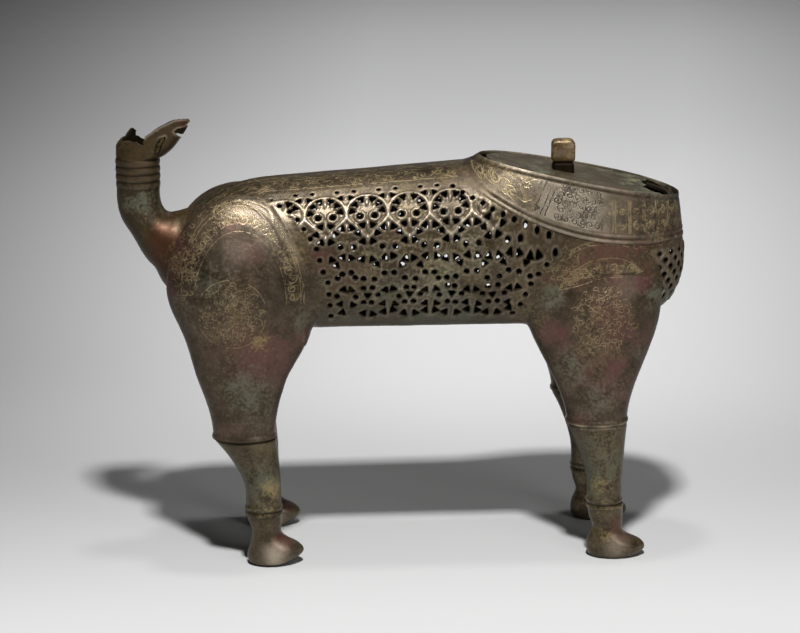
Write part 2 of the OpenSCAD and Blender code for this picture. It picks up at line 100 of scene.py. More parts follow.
def smooth(low: float, high: float, value: Array) -> Array:
    """Smooth step of value from 0 at low to 1 at high."""
    t = np.clip((np.asarray(value, float) - low) / (high - low), 0.0, 1.0)
    return t * t * (3.0 - 2.0 * t)


def bell(value: Array, centre: float, width: float) -> Array:
    """Bell curve of the given width round centre."""
    return np.exp(-(((np.asarray(value, float) - centre) / width) ** 2))


def spread(stops: list[tuple[float, float]]) -> Array:
    """Lists values with a chosen spacing.

    Args:
        stops: pairs of a value and the spacing from there on; the last pair ends the list.

    Returns:
        The values in order, each stop included.
    """
    runs = [
        np.linspace(a, b, max(2, int(round(abs(b - a) / step)) + 1))[:-1]
        for (a, step), (b, _) in zip(stops[:-1], stops[1:])
    ]
    return np.concatenate(runs + [np.array([stops[-1][0]])])


def through(knots: Array, count: int) -> Array:
    """Smooth curve through knots.

    Args:
        knots: rows of values, one row per knot.
        count: how many rows to return.

    Returns:
        Catmull-Rom samples, evenly spread over the knots.
    """
    k = np.asarray(knots, float)
    padded = np.vstack([2 * k[0] - k[1], k, 2 * k[-1] - k[-2]])
    t = np.linspace(0, len(k) - 1, count)
    i = np.minimum(t.astype(int), len(k) - 2)
    f = (t - i)[:, None]
    a, b, c, d = (padded[i + n] for n in range(4))
    return 0.5 * (2 * b + (c - a) * f + (2 * a - 5 * b + 4 * c - d) * f**2 + (3 * b - a - 3 * c + d) * f**3)


@dataclass(frozen=True)
class Grain:
    """Smooth repeatable unevenness in space."""

    pitch: float
    seed: int

    def corner(self, cell: Array) -> Array:
        """Looks up fixed values.

        Args:
            cell: n by 3 whole numbers.

        Returns:
            A value from 0 to 1 for each cell.
        """
        h = (cell[:, 0] * 374761393 + cell[:, 1] * 668265263 + cell[:, 2] * 1440662683) & 0xFFFFFFFF
        h = (h + self.seed * 1013904223) & 0xFFFFFFFF
        h = ((h ^ (h >> 13)) * 1274126177) & 0xFFFFFFFF
        return ((h ^ (h >> 16)) & 0xFFFF) / 65535.0

    def at(self, points: Array) -> Array:
        """Works out the unevenness.

        Args:
            points: n by 3.

        Returns:
            Values from -1 to 1.
        """
        q = points / self.pitch
        low = np.floor(q).astype(np.int64)
        f = q - low
        f = f * f * (3 - 2 * f)
        total = np.zeros(len(q))
        for corner in range(8):
            bits = np.array([corner & 1, corner >> 1 & 1, corner >> 2 & 1])
            weight = np.prod(np.where(bits, f, 1 - f), axis=1)
            total += weight * self.corner(low + bits)
        return 2 * total - 1


@dataclass
class Shell:
    """A triangle mesh in millimetres, with named values at its points."""

    points: Array
    faces: Array
    layers: dict[str, Array] = field(default_factory=dict)

    @classmethod
    def sheet(cls, grid: Array, closed: bool = False) -> Shell:
        """Makes a mesh of a grid of points.

        Args:
            grid: rows by columns by 3.
            closed: whether the last column joins the first.

        Returns:
            The mesh, facing along row direction cross column direction.
        """
        rows, cols = grid.shape[:2]
        i = np.arange(rows - 1)[:, None] * cols
        j = np.arange(cols if closed else cols - 1)[None, :]
        k = (j + 1) % cols
        a, b, c, d = (x.ravel() for x in (i + j, i + cols + j, i + cols + k, i + k))
        faces = np.concatenate([np.stack([a, b, c], 1), np.stack([a, c, d], 1)])
        return cls(grid.reshape(-1, 3).copy(), faces)

    @staticmethod
    def rings(cx: Array, cy: Array, z: Array, a: Array, b: Array, turn: Array) -> Array:
        """Oval rings of points by their middles, heights and half sizes, one row per height, facing outwards."""
        x, y = cx[:, None] + a[:, None] * np.cos(turn), cy[:, None] - b[:, None] * np.sin(turn)
        return np.stack(np.broadcast_arrays(x, y, z[:, None] + 0 * x), -1)

    def normals(self) -> Array:
        """Works out the normals.

        Returns:
            Unit vectors, one per point.
        """
        p = self.points[self.faces]
        flat = np.cross(p[:, 1] - p[:, 0], p[:, 2] - p[:, 0])
        out = np.zeros_like(self.points)
        for axis in range(3):
            for corner in range(3):
                out[:, axis] += np.bincount(self.faces[:, corner], flat[:, axis], len(out))
        return out / np.maximum(np.linalg.norm(out, axis=1, keepdims=True), 1e-12)

    def emboss(self, relief: Array) -> None:
        """Moves the points out along their normals by some mm."""
        self.points = self.points + self.normals() * relief[:, None]

    def put(self, layer: Layer, values: Array) -> None:
        """Keeps the larger of the layer's old and new values."""
        old = self.layers.get(layer.value, np.zeros(len(self.points)))
        self.layers[layer.value] = np.clip(np.maximum(old, values), 0.0, 1.0)

    def engrave(self, signed: Array, where: Array | float = 1.0) -> None:
        """Keeps the distance to engraved lines, with its sign, wherever `where` is over a half."""
        shown = np.where(np.asarray(where) > 0.5, signed, FAR)
        self.layers[Layer.LINE.value], self.layers[Layer.NEAR.value] = shown, np.abs(shown)

    def clipped(self, keep: Array) -> Shell:
        """Cuts the mesh along the line where keep is zero.

        Args:
            keep: one value per point, positive where the mesh stays.

        Returns:
            The part with positive values, its layers carried along.
        """
        keep = np.where(np.abs(keep) < 1e-4, 1e-4, keep)
        inside = keep[self.faces] > 0
        count = inside.sum(1)
        turn = np.arange(3)[None, :]

        def rolled(rows: Array, first: Array) -> Array:
            """Rows of faces turned so that the given corner comes first."""
            return np.take_along_axis(rows, (first[:, None] + turn) % 3, 1)

        one = rolled(self.faces[count == 1], inside[count == 1].argmax(1))
        two = rolled(self.faces[count == 2], inside[count == 2].argmin(1))
        pairs = np.concatenate([one[:, [0, 1]], one[:, [0, 2]], two[:, [0, 1]], two[:, [0, 2]]])
        cut, where = np.unique(np.sort(pairs, 1), axis=0, return_inverse=True)
        where = where.ravel() + len(self.points)
        share = (keep[cut[:, 0]] / (keep[cut[:, 0]] - keep[cut[:, 1]]))[:, None]
        m1, m2, m3, m4 = np.split(where, np.cumsum([len(one), len(one), len(two)]))
        faces = np.concatenate([
            self.faces[count == 3],
            np.stack([one[:, 0], m1, m2], 1),
            np.stack([m3, two[:, 1], two[:, 2]], 1),
            np.stack([m3, two[:, 2], m4], 1),
        ])
        used, packed = np.unique(faces, return_inverse=True)

        def carried(values: Array) -> Array:
            """Carries values over to the points in use.

            Args:
                values: values at the old points.

            Returns:
                Values at the points that stay and on the cut.
            """
            flat = values.reshape(len(values), -1)
            mid = flat[cut[:, 0]] * (1 - share) + flat[cut[:, 1]] * share
            return np.concatenate([flat, mid])[used].reshape((-1,) + values.shape[1:])

        return Shell(carried(self.points), packed.reshape(-1, 3), {k: carried(v) for k, v in self.layers.items()})

    def cut(self, fields: dict[str, Array]) -> Shell:
        """Cuts the mesh by several fields in turn.

        Args:
            fields: by name, values per point that are positive where the mesh stays.

        Returns:
            What is left.
        """
        left = Shell(self.points, self.faces, {**self.layers, **fields})
        for name in fields:
            left = left.clipped(left.layers[name])
        for name in fields:
            left.layers.pop(name)
        return left

    def walled(self) -> Shell:
        """Gives the sheet its thickness, the other side lying where its BACK layer says.

        Returns:
            A closed mesh of the sheet, its other side and the walls between them.
        """
        inner = self.layers.pop(BACK)
        n = len(self.points)
        edges = np.concatenate([self.faces[:, [0, 1]], self.faces[:, [1, 2]], self.faces[:, [2, 0]]])
        key = edges[:, 0] * n + edges[:, 1]
        rim = edges[~np.isin(key, edges[:, 1] * n + edges[:, 0])]
        a, b = rim[:, 0], rim[:, 1]
        walls = np.concatenate([np.stack([b, a, a + n], 1), np.stack([b, a + n, b + n], 1)])
        faces = np.concatenate([self.faces, self.faces[:, ::-1] + n, walls])
        layers = {k: np.concatenate([v, Layer(k).blank(n)]) for k, v in self.layers.items()}
        dark = self.layers.get(Layer.DARK.value, np.zeros(n))
        # the inner face carries the painted inside darkness
        layers[Layer.DARK.value] = np.concatenate([dark, np.full(n, INSIDE_DARK)])
        return Shell(np.concatenate([self.points, inner]), faces, layers)

    def merged(self, index: Array) -> Shell:
        """Puts other points in the place of some, and drops faces left without area."""
        faces = index[self.faces]
        return Shell(self.points, faces[(faces != np.roll(faces, 1, 1)).all(1)], self.layers)

    def capped(self, rows: int, cols: int) -> Shell:
        """Closes the two ends of a closed grid with fans.

        Args:
            rows: how many rings the grid has.
            cols: how many points each ring has.

        Returns:
            The closed mesh.
        """
        points, faces = [self.points], [self.faces]
        for end, ring in enumerate((np.arange(cols), np.arange(cols) + (rows - 1) * cols)):
            points.append(self.points[ring].mean(0, keepdims=True))
            fan = np.stack([np.full(cols, len(self.points) + end), ring, np.roll(ring, -1)], 1)
            faces.append(fan[:, ::-1] if end else fan)
        layers = {k: np.concatenate([v, v[:1], v[-1:]]) for k, v in self.layers.items()}
        return Shell(np.concatenate(points), np.concatenate(faces), layers)

    def joined(self, other: Shell) -> Shell:
        """Joins this mesh and another.

        Args:
            other: the mesh to add.

        Returns:
            One mesh, with blank values where only one of them has a layer.
        """
        layers = {
            k: np.concatenate([s.layers.get(k, Layer(k).blank(len(s.points))) for s in (self, other)])
            for k in set(self.layers) | set(other.layers)
        }
        faces = np.concatenate([self.faces, other.faces + len(self.points)])
        return Shell(np.concatenate([self.points, other.points]), faces, layers)

    def mirrored(self) -> Shell:
        """The same mesh on the lion's other side."""
        return Shell(self.points * [1, -1, 1], self.faces[:, ::-1].copy(), dict(self.layers))

    def both_sides(self, name: str, slot: Slot, finish: Material) -> None:
        """Makes a piece for the left node of a pair, and its mirror image for the right one."""
        for side, shell in (("left", self), ("right", self.mirrored())):
            shell.piece(f"{side}_{name}_cast", Body.LION, slot, finish, f"{side}_{name}")

    def piece(self, name: str, body: Body, slot: Slot, finish: Material, node: str) -> None:
        """Makes the Blender object of this mesh, riding on its body.

        Args:
            name: the piece's name.
            body: the CAD body that it rides on.
            slot: the record's material slot; not used.
            finish: its material.
            node: the CAD node that it stands for.
        """
        p = self.points[self.faces]
        volume = np.einsum("ij,ij->i", p[:, 0], np.cross(p[:, 1], p[:, 2])).sum()
        faces = self.faces if volume > 0 else self.faces[:, ::-1]
        mesh = bpy.data.meshes.new(name)
        mesh.from_pydata((self.points * MM).tolist(), [], faces.tolist())
        for layer in Layer:
            values = self.layers.get(layer.value, layer.blank(len(self.points)))
            mesh.attributes.new(layer.value, "FLOAT", "POINT").data.foreach_set("value", values.astype(np.float32))
        mesh.validate()
        mesh.shade_smooth()
        mesh.set_sharp_from_angle(angle=SHARP_EDGE)
        mesh.materials.append(finish)
        made = bpy.data.objects.new(name, mesh)
        bpy.context.scene.collection.objects.link(made)
        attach(made, body.value)
        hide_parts(node)
        log.info("%s: %d points, %d faces", name, len(self.points), len(faces))


@dataclass(frozen=True)
class TrunkForm:
    """The trunk's skin, the neck rim and the collar's border, as in the part's source."""

    half: float = 52.0
    rump_x: float = -187.0
    rump_round: float = 84.0
    breast_x: float = 225.0
    breast_round: float = 75.0
    breast_taper: float = 95.0
    breast_lean: float = 0.14
    back_h: float = 310.5
    back_tilt: float = 4.2
    flank_h: float = 245.0
    belly_h: float = 184.0
    belly_power: float = 2.7
    breast_top_power: float = 4.0
    breast_drop_power: float = 2.8
    neck_x: float = 46.0
    neck_flare: float = 0.66
    neck_ease: float = 20.0
    rim_x: float = 145.0
    rim_h: float = 302.5
    rim_tilt: float = 11.2
    border_h: float = 254.0
    border_back_x: float = 34.0
    border_front_x: float = 200.0
    wall: float = 3.0

    @staticmethod
    def round_end(t: Array, power: float) -> Array:
        """Share of the full section left at t of the way along a rounded end."""
        return np.maximum(0.0, 1.0 - np.clip(t, 0, 1) ** power) ** (1 / power)

    def top_line(self, x: Array) -> Array:
        """Works out the height of the back and of the neck's wall over it.

        Args:
            x: stations along the trunk.

        Returns:
            The heights.
        """
        d = np.maximum(0, x - self.neck_x)
        back = self.back_h + x * math.tan(math.radians(self.back_tilt))
        return back + self.neck_flare * d * d / (d + self.neck_ease)

    def sizes(self, x: Array, g: float) -> tuple[Array, Array, Array]:
        """Sizes of the trunk's section.

        Args:
            x: stations along the trunk.
            g: how far the skin is grown.

        Returns:
            Half width, rise over the flank line and drop under it.
        """
        rump = self.round_end((self.rump_x + self.rump_round - x) / (self.rump_round + g), 2)
        ahead = (x - self.breast_x + self.breast_round) / (self.breast_round + g)
        plan = rump * self.round_end((x - self.breast_x + self.breast_taper) / (self.breast_taper + g), 2.2)
        return (
            (self.half + g) * plan,
            (self.top_line(x) - self.flank_h + g) * rump * self.round_end(ahead, self.breast_top_power),
            (self.flank_h - self.belly_h + g) * rump * self.round_end(ahead, self.breast_drop_power),
        )

    def lean(self, x: Array, z: Array) -> Array:
        """How far the upper breast leans back."""
        share = np.clip((x - self.breast_x + self.breast_taper) / self.breast_taper, 0, 1)
        return self.breast_lean * np.maximum(0, np.minimum(z, self.rim_h) - self.flank_h) * share**2

    def skin(self, x: Array, t: Array, side: Array, g: float) -> Array:
        """Points of the skin.

        Args:
            x: stations along the trunk.
            t: angle up from the flank line, in radians.
            side: -1 on the right and 1 on the left.
            g: how far the skin is grown.

        Returns:
            The points, in the broadcast shape of the arguments by 3.
        """
        half, rise, drop = self.sizes(x, g)
        up = t >= 0
        power = 2 / self.belly_power
        c, s = np.cos(t), np.abs(np.sin(t))
        y = half * np.where(up, c, np.abs(c) ** power)
        z = self.flank_h + np.where(up, rise * s, -drop * s**power)
        return np.stack(np.broadcast_arrays(x - np.where(up, self.lean(x, z), 0), side * y, z), -1)

    def closing(self, x: float, edge: Array, g: float, rows: int) -> Array:
        """Level rows of points that close the breast's tip ahead of a section.

        Args:
            x: station of the section.
            edge: its points.
            g: how far the skin is grown.
            rows: how many rows to lay.

        Returns:
            Points by row and column, the last row on the middle plane.
        """
        y = edge[:, 1] * np.linspace(1, 0, rows + 1)[1:, None]
        z = np.broadcast_to(edge[:, 2], y.shape)
        up = z >= self.flank_h
        power = np.where(up, 2.0, self.belly_power)
        low, high = np.full_like(y, x), np.full_like(y, self.breast_x + g)
        for _ in range(36):
            middle = (low + high) / 2
            half, rise, drop = (np.maximum(v, 1e-6) for v in self.sizes(middle, g))
            tall = np.abs(z - self.flank_h) / np.where(up, rise, drop)
            inside = (np.abs(y) / half) ** power + tall**power < 1
            low, high = np.where(inside, middle, low), np.where(inside, high, middle)
        return np.stack([low - np.where(up, self.lean(low, z), 0), y, z], -1)

    def outside(self, p: Array) -> Array:
        """Measures how far points lie outside the skin.

        Args:
            p: n by 3.

        Returns:
            About the distances in mm, negative inside.
        """
        x, y, z = p.T
        for _ in range(2):
            x = p[:, 0] + np.where(z > self.flank_h, self.lean(x, z), 0)
        half, rise, drop = (np.maximum(v, 0.5) for v in self.sizes(x, 0.0))
        k = self.belly_power
        above = np.hypot(y / half, (z - self.flank_h) / rise)
        below = (np.abs(y / half) ** k + np.abs((z - self.flank_h) / drop) ** k) ** (1 / k)
        rho = np.maximum(np.where(z > self.flank_h, above, below), 1e-6)
        return (rho - 1) / rho * np.hypot(y, z - self.flank_h)

    def rim_z(self, x: Array) -> Array:
        """Height of the neck rim's plane."""
        return self.rim_h - (x - self.rim_x) * math.tan(math.radians(self.rim_tilt))

    def border_z(self, x: Array) -> Array:
        """Height of the collar's lower border."""
        share = np.maximum(0, self.border_front_x - x) / (self.border_front_x - self.border_back_x)
        return self.border_h + (self.top_line(np.array(self.border_back_x)) - self.border_h) * share**2.25

    def rim_half(self, along: Array, g: float) -> Array:
        """Half width of the neck mouth.

        Args:
            along: distances along the sloping rim from its middle.
            g: how far the skin is grown.

        Returns:
            The half widths, negative past the mouth's ends.
        """
        x = self.neck_x + (self.breast_x - self.neck_x) * np.sin(np.linspace(0, math.pi / 2, 400))
        half, rise, _ = self.sizes(x, g)
        level = (self.rim_z(x) - self.flank_h) / np.maximum(rise, 1e-6)
        y = half * np.sqrt(np.maximum(0, 1 - level**2))
        u = (x - self.lean(x, self.rim_z(x)) - self.rim_x) / math.cos(math.radians(self.rim_tilt))
        used = y > 0.5
        return np.interp(along, u[used], y[used], left=-5.0, right=-5.0)

    def on_rim(self, along: Array, y: Array, up: Array) -> Array:
        """Places on and over the sloping rim.

        Args:
            along: distances along the rim from its middle.
            y: places across it.
            up: heights square to it.

        Returns:
            The points, in the broadcast shape of the arguments by 3.
        """
        a = math.radians(self.rim_tilt)
        x = self.rim_x + along * math.cos(a) + up * math.sin(a)
        z = self.rim_h - along * math.sin(a) + up * math.cos(a)
        return np.stack(np.broadcast_arrays(x, y, z), -1)


FORM = TrunkForm()


class Scroll:
    """Strokes of plain scrollwork, each a list of points in a flat pattern."""

    STEP = 0.45  # mm between a stroke's points
    GOLDEN = 137.5  # degrees from one scattered curl to the next
    STRAIGHT = 1.6  # mm within which a stroke counts as straight

    @staticmethod
    def hand(k: int) -> int:
        """Which way the k-th curl of a row winds."""
        return 1 if k % 2 else -1

    @classmethod
    def line(cls, *corners: Spot) -> Array:
        """Straight strokes from corner to corner."""
        runs = zip(corners[:-1], corners[1:])
        return np.concatenate([np.linspace(a, b, max(2, int(math.dist(a, b) / cls.STEP))) for a, b in runs])

    @classmethod
    def arc(cls, centre: Spot, radii: Spot, start: float, end: float) -> Array:
        """Draws part of an ellipse.

        Args:
            centre: its middle.
            radii: its half sizes.
            start: angle in degrees.
            end: angle in degrees.

        Returns:
            Points along it.
        """
        n = max(8, int(abs(math.radians(end - start)) * max(radii) / cls.STEP))
        t = np.radians(np.linspace(start, end, n))
        return np.stack([centre[0] + radii[0] * np.cos(t), centre[1] + radii[1] * np.sin(t)], 1)

    @classmethod
    def curl(cls, centre: Spot, radius: float, start: float, hand: int, turns: float = 1.35) -> Array:
        """Draws a spiral that winds in from its outer end.

        Args:
            centre: its middle.
            radius: how far out it starts.
            start: angle of its outer end in degrees.
            hand: 1 or -1, which way it winds.
            turns: how often it goes round.

        Returns:
            Points along it.
        """
        n = max(12, int(turns * 2 * math.pi * radius * 0.6 / cls.STEP))
        f = np.linspace(0, 1, n)
        t = math.radians(start) + hand * turns * 2 * math.pi * f
        r = radius * (1 - 0.8 * f)
        return np.stack([centre[0] + r * np.cos(t), centre[1] + r * np.sin(t)], 1)

    @classmethod
    def scatter(cls, centre: Spot, radii: Spot, count: int, size: float) -> list[Array]:
        """Fills an ellipse with loose curls.

        Args:
            centre: its middle.
            radii: its half sizes.
            count: how many curls.
            size: about their radius.

        Returns:
            The curls.
        """
        strokes = []
        for k in range(count):
            far, a = math.sqrt((k + 0.5) / count), math.radians(k * cls.GOLDEN)
            spot = (centre[0] + radii[0] * far * math.cos(a), centre[1] + radii[1] * far * math.sin(a))
            radius, turns = size * (0.75 + 0.3 * (k % 3)), 0.45 + 0.25 * (k % 3)
            strokes.append(cls.curl(spot, radius, 53.0 * k, cls.hand(k), turns))
        return strokes

    @classmethod
    def roundel(cls, centre: Spot, radius: float) -> list[Array]:
        """A disc of curls with what is left of its ring."""
        ring = [cls.arc(centre, (radius, radius), *ends) for ends in ((200, 262), (275, 345), (20, 58), (96, 150))]
        return cls.scatter(centre, (0.92 * radius, 0.92 * radius), 62, 2.4) + ring

    @classmethod
    def vine(cls, start: float, end: float, level: float, height: float, bay: float) -> list[Array]:
        """Draws a waving stem with curls in its bays.

        Args:
            start: where it starts.
            end: where it ends.
            level: its middle line.
            height: height of the band.
            bay: length of a bay.

        Returns:
            The stem, then the curls.
        """
        u = np.arange(start, end, cls.STEP)
        strokes = [np.stack([u, level + 0.32 * height * np.sin(u * math.pi / bay)], 1)]
        for k, middle in enumerate(np.arange(start + bay / 2, end, bay)):
            hand = cls.hand(k)
            strokes.append(cls.curl((middle, level + hand * 0.12 * height), 0.36 * height, 90 * hand, hand))
            strokes.append(cls.curl((middle + bay / 2, level - hand * 0.3 * height), 0.16 * height, 0, -hand, 1.1))
        return strokes

    @staticmethod
    def distance(places: Array, strokes: list[Array], reach: float = 4.0) -> Array:
        """Distance from each place to the nearest stroke.

        Args:
            places: n by 2.
            strokes: the strokes' points.
            reach: places further from all strokes than this aren't measured.

        Returns:
            The distances, negative to the right of a stroke, and FAR where there is none within reach.
        """
        dots = np.concatenate(strokes)
        ways = np.concatenate([np.gradient(stroke, axis=0) for stroke in strokes])
        ways /= np.maximum(np.linalg.norm(ways, axis=1, keepdims=True), 1e-9)
        tree = KDTree(len(dots))
        for i, (u, v) in enumerate(dots):
            tree.insert((u, v, 0.0), i)
        tree.balance()
        out = np.full(len(places), FAR)
        low, high = dots.min(0) - reach, dots.max(0) + reach
        near = np.nonzero(((places > low) & (places < high)).all(1))[0]
        found = [tree.find((u, v, 0.0)) for u, v in places[near]]
        index = np.array([hit[1] for hit in found], int)
        gap = np.array([hit[2] for hit in found])
        off, way = places[near] - dots[index], ways[index]
        side = way[:, 0] * off[:, 1] - way[:, 1] * off[:, 0]
        level = np.where(gap < Scroll.STRAIGHT, np.abs(side), gap)
        out[near] = np.where(gap < reach, np.where(side < 0, -level, level), FAR)
        return out


@dataclass(frozen=True)
class Patch:
    """A place on the lion's side with its own patch of patina, of painted highlight, or of painted shade."""

    x: float
    z: float
    size: float
    amount: float

    def at(self, p: Array) -> Array:
        """The patina's strength at points."""
        return self.amount * np.exp(-((p[:, 0] - self.x) ** 2 + (p[:, 2] - self.z) ** 2) / self.size**2)


PATCHES = {
    Layer.RED: (
        Patch(160, 242, 26, 0.5), Patch(186, 228, 20, 0.42), Patch(128, 236, 16, 0.5), Patch(168, 196, 26, 0.55),
        Patch(118, 186, 16, 0.45), Patch(108, 232, 10, 0.45), Patch(-187, 252, 24, 0.8), Patch(-188, 225, 16, 0.8),
        Patch(-110, 170, 34, 0.6), Patch(-98, 22, 11, 0.8), Patch(172, 24, 12, 0.9), Patch(-63, 245, 14, 0.45),
        Patch(150, 150, 34, 0.3), Patch(196, 262, 16, 0.4), Patch(165, 268, 14, 0.35), Patch(-131, 256, 18, 0.45),
    ),
    Layer.GREEN: (
        Patch(-206, 284, 20, 0.55), Patch(-78, 200, 15, 0.5), Patch(200, 212, 18, 0.6), Patch(183, 166, 10, 0.8),
        Patch(128, 160, 15, 0.55), Patch(193, 262, 16, 0.5), Patch(-150, 232, 15, 0.5), Patch(-125, 140, 24, 0.65),
        Patch(110, 215, 16, 0.6), Patch(155, 82, 34, 0.5), Patch(-112, 70, 24, 0.5), Patch(205, 285, 18, 0.6),
        Patch(30, 240, 40, 0.3), Patch(10, 200, 80, 0.6), Patch(-175, 215, 14, 0.4), Patch(-206, 270, 16, 0.3),
        Patch(150, 135, 20, 0.4),
    ),
    Layer.OCHRE: (
        Patch(-60, 305, 55, 0.32), Patch(30, 315, 45, 0.45), Patch(-140, 285, 34, 0.35), Patch(-115, 186, 12, 0.7),
        Patch(-133, 212, 26, 0.4), Patch(70, 320, 20, 0.6), Patch(148, 196, 24, 0.4), Patch(196, 268, 24, 0.6),
        Patch(-178, 248, 16, 0.55), Patch(-106, 62, 16, 0.6), Patch(154, 62, 14, 0.6), Patch(-20, 255, 40, 0.3),
        Patch(-88, 248, 14, 0.5), Patch(115, 242, 14, 0.5), Patch(158, 20, 10, 0.6), Patch(5, 258, 55, 0.5),
    ),
    # painted highlight: the BRIGHT patches on the haunch's top; painted shade: the first two DARK patches, at the
    # haunch's left and right; the other two darken the breast and the back
    Layer.BRIGHT: (Patch(-106, 270, 16, 0.3), Patch(-131, 258, 14, 0.26)),
    Layer.DARK: (
        Patch(-162, 238, 22, 0.5), Patch(-89, 230, 18, 0.55), Patch(203, 272, 26, 0.4), Patch(20, 320, 40, 0.4),
    ),
}
# From which value of their grain on the patinas stray beyond their patches.
STRAY = {Layer.RED: 0.45, Layer.GREEN: 0.5, Layer.OCHRE: 0.5, Layer.BRIGHT: FAR, Layer.DARK: FAR}
# Height in mm and grain of each size of unevenness in the castings.
CAST_GRAINS = ((0.28, Grain(31.0, 1)), (0.1, Grain(9.0, 2)), (0.05, Grain(3.4, 5)))


def patinate(shell: Shell) -> Shell:
    """Adds the patches of patina, painted highlight and painted shade, and the smaller blotches round them.

    Args:
        shell: the mesh to dress.

    Returns:
        The same mesh.
    """
    p = shell.points
    cloud = Grain(17.0, 3).at(p) * 0.6 + Grain(6.5, 4).at(p) * 0.4
    for layer, low in STRAY.items():
        value = np.zeros(len(p))
        for patch in PATCHES[layer]:
            value = np.maximum(value, patch.at(p))
        stray = np.maximum(0, Grain(23.0, 11 + len(layer.value)).at(p) - low)
        shell.put(layer, np.clip(value * (1.0 + 0.7 * cloud) + 0.9 * stray, 0, 1))
    return shell


def roughcast(points: Array, amount: float = 1.0) -> Array:
    """Unevenness of an old casting, in mm."""
    return amount * sum(height * grain.at(points) for height, grain in CAST_GRAINS)


def fillet(gap: Array, width: float = 9.0) -> Array:
    """Height of a smooth fillet at the given distances from where two castings meet, in mm."""
    return np.maximum(0, 1 - np.abs(gap) / width) ** 2 * width / 4


@dataclass(frozen=True)
class Pair:
    """Two piercings at the same height, one each side of an upright axis of the pattern."""

    v: float
    out: float
    between: bool
    r: float
    aim: float | None = None


PAIRS = (
    Pair(61.0, 6.5, True, 1.6), Pair(54.6, 3.9, True, 1.9, 47), Pair(51.8, 4.3, False, 2.2, 38),
    Pair(47.3, 9.2, False, 2.2, 38), Pair(41.4, 11.7, False, 2.1, 38), Pair(36.8, 5.7, False, 2.3),
    Pair(29.4, 3.8, False, 2.1, 18), Pair(27.4, 3.9, True, 2.3, 38), Pair(23.0, 7.4, False, 2.1, 40),
    Pair(16.6, 3.8, False, 2.2, 26), Pair(12.2, 5.0, True, 2.1), Pair(4.4, 4.0, True, 2.2, 12),
    Pair(2.6, 3.8, False, 2.2, 12), Pair(-1.4, 9.0, True, 2.1, 12), Pair(-8.4, 3.6, True, 2.1),
    Pair(-13.0, 4.1, False, 2.1), Pair(-12.6, 9.3, False, 2.0), Pair(-20.0, 3.1, False, 2.1),
    Pair(-22.4, 3.5, True, 2.2, -12), Pair(-27.0, 8.7, False, 2.0), Pair(-26.6, 0.0, False, 2.2, -36),
    Pair(-32.8, 3.5, False, 2.0), Pair(-34.4, 4.7, True, 2.1, -24), Pair(-40.4, 3.9, True, 2.3, -30),
    Pair(-43.2, 4.2, False, 2.3, -34),
)


def nearest(a: Array, b: Array) -> Array:
    """Whichever of two signed distances is nearer to its line."""
    return np.where(np.abs(a) <= np.abs(b), a, b)


def thigh_lines(points: Array) -> Array:
    """Signed distance to the engraving on the thighs and beside them: roundels, and bands of bolder scrolls.

    Args:
        points: places in mm; the engraving is seen from the side.

    Returns:
        The distances, those to the bolder strokes scaled down.
    """
    centre, bold = (-129.0, 215.0), []
    for k, a in enumerate(np.arange(4, 162, 6.2)):
        t = math.radians(a)
        spot = (centre[0] + 41 * math.cos(t), centre[1] + 65 * math.sin(t))
        bold.append(Scroll.curl(spot, 4.0, a + 90 * (k % 2), Scroll.hand(k), 1.0))
    upper = through(np.array([(117, 220), (130, 236), (144, 243), (160, 245), (174, 241), (184, 233)]), 170)
    lower = through(np.array([(117, 220), (133, 224), (151, 229), (172, 230), (184, 233)]), 170)
    for k, share in enumerate(np.linspace(0.14, 0.9, 9)):
        at = int(share * (len(upper) - 1))
        radius = 1.4 + 3.6 * math.sin(share * math.pi)
        bold.append(Scroll.curl(tuple((upper[at] + lower[at]) / 2), radius, 60 * k, Scroll.hand(k), 1.1))
    thin = [upper, lower] + Scroll.roundel((-136.0, 208.0), 27.0)
    for spot, radii, count, size in (
        ((153.0, 197.0), (25.0, 27.0), 70, 2.6),
        ((-173.0, 250.0), (13.0, 34.0), 40, 3.0),
        ((-150.0, 292.0), (40.0, 13.0), 46, 3.2),
        ((122.0, 238.0), (13.0, 16.0), 20, 3.0),
    ):
        thin += Scroll.scatter(spot, radii, count, size)
    thin += [Scroll.arc(centre, radii, 0, 165) for radii in ((35.5, 56.5), (46.5, 73.5), (48.8, 76.5))]
    brow = np.array([(124, 248), (140, 254.5), (158, 256), (177, 252), (192, 245)])
    thin += [through(brow + [0, rise], 150) for rise in (0.0, 3.0)]
    flat, beside = points[:, [0, 2]], np.abs(points[:, 1]) > 22
    shown = nearest(Scroll.distance(flat, thin), Scroll.distance(flat, bold) / 1.7)
    return np.where(beside, shown, FAR)


RIDGE = through(np.array([
    (-138, 296), (-124, 295), (-111, 288), (-97, 270), (-85, 245), (-78, 219), (-75, 194), (-77, 180),
]), 240)


def haunch_ridge(points: Array) -> Array:
    """Height of the smooth ridge that bounds the haunch, with a thin groove each side, in mm."""
    off = np.abs(Scroll.distance(points[:, [0, 2]], [RIDGE], 8.0))
    return 0.6 * (1 - smooth(2.0, 5.0, off)) - 0.3 * bell(off, 5.2, 0.8)


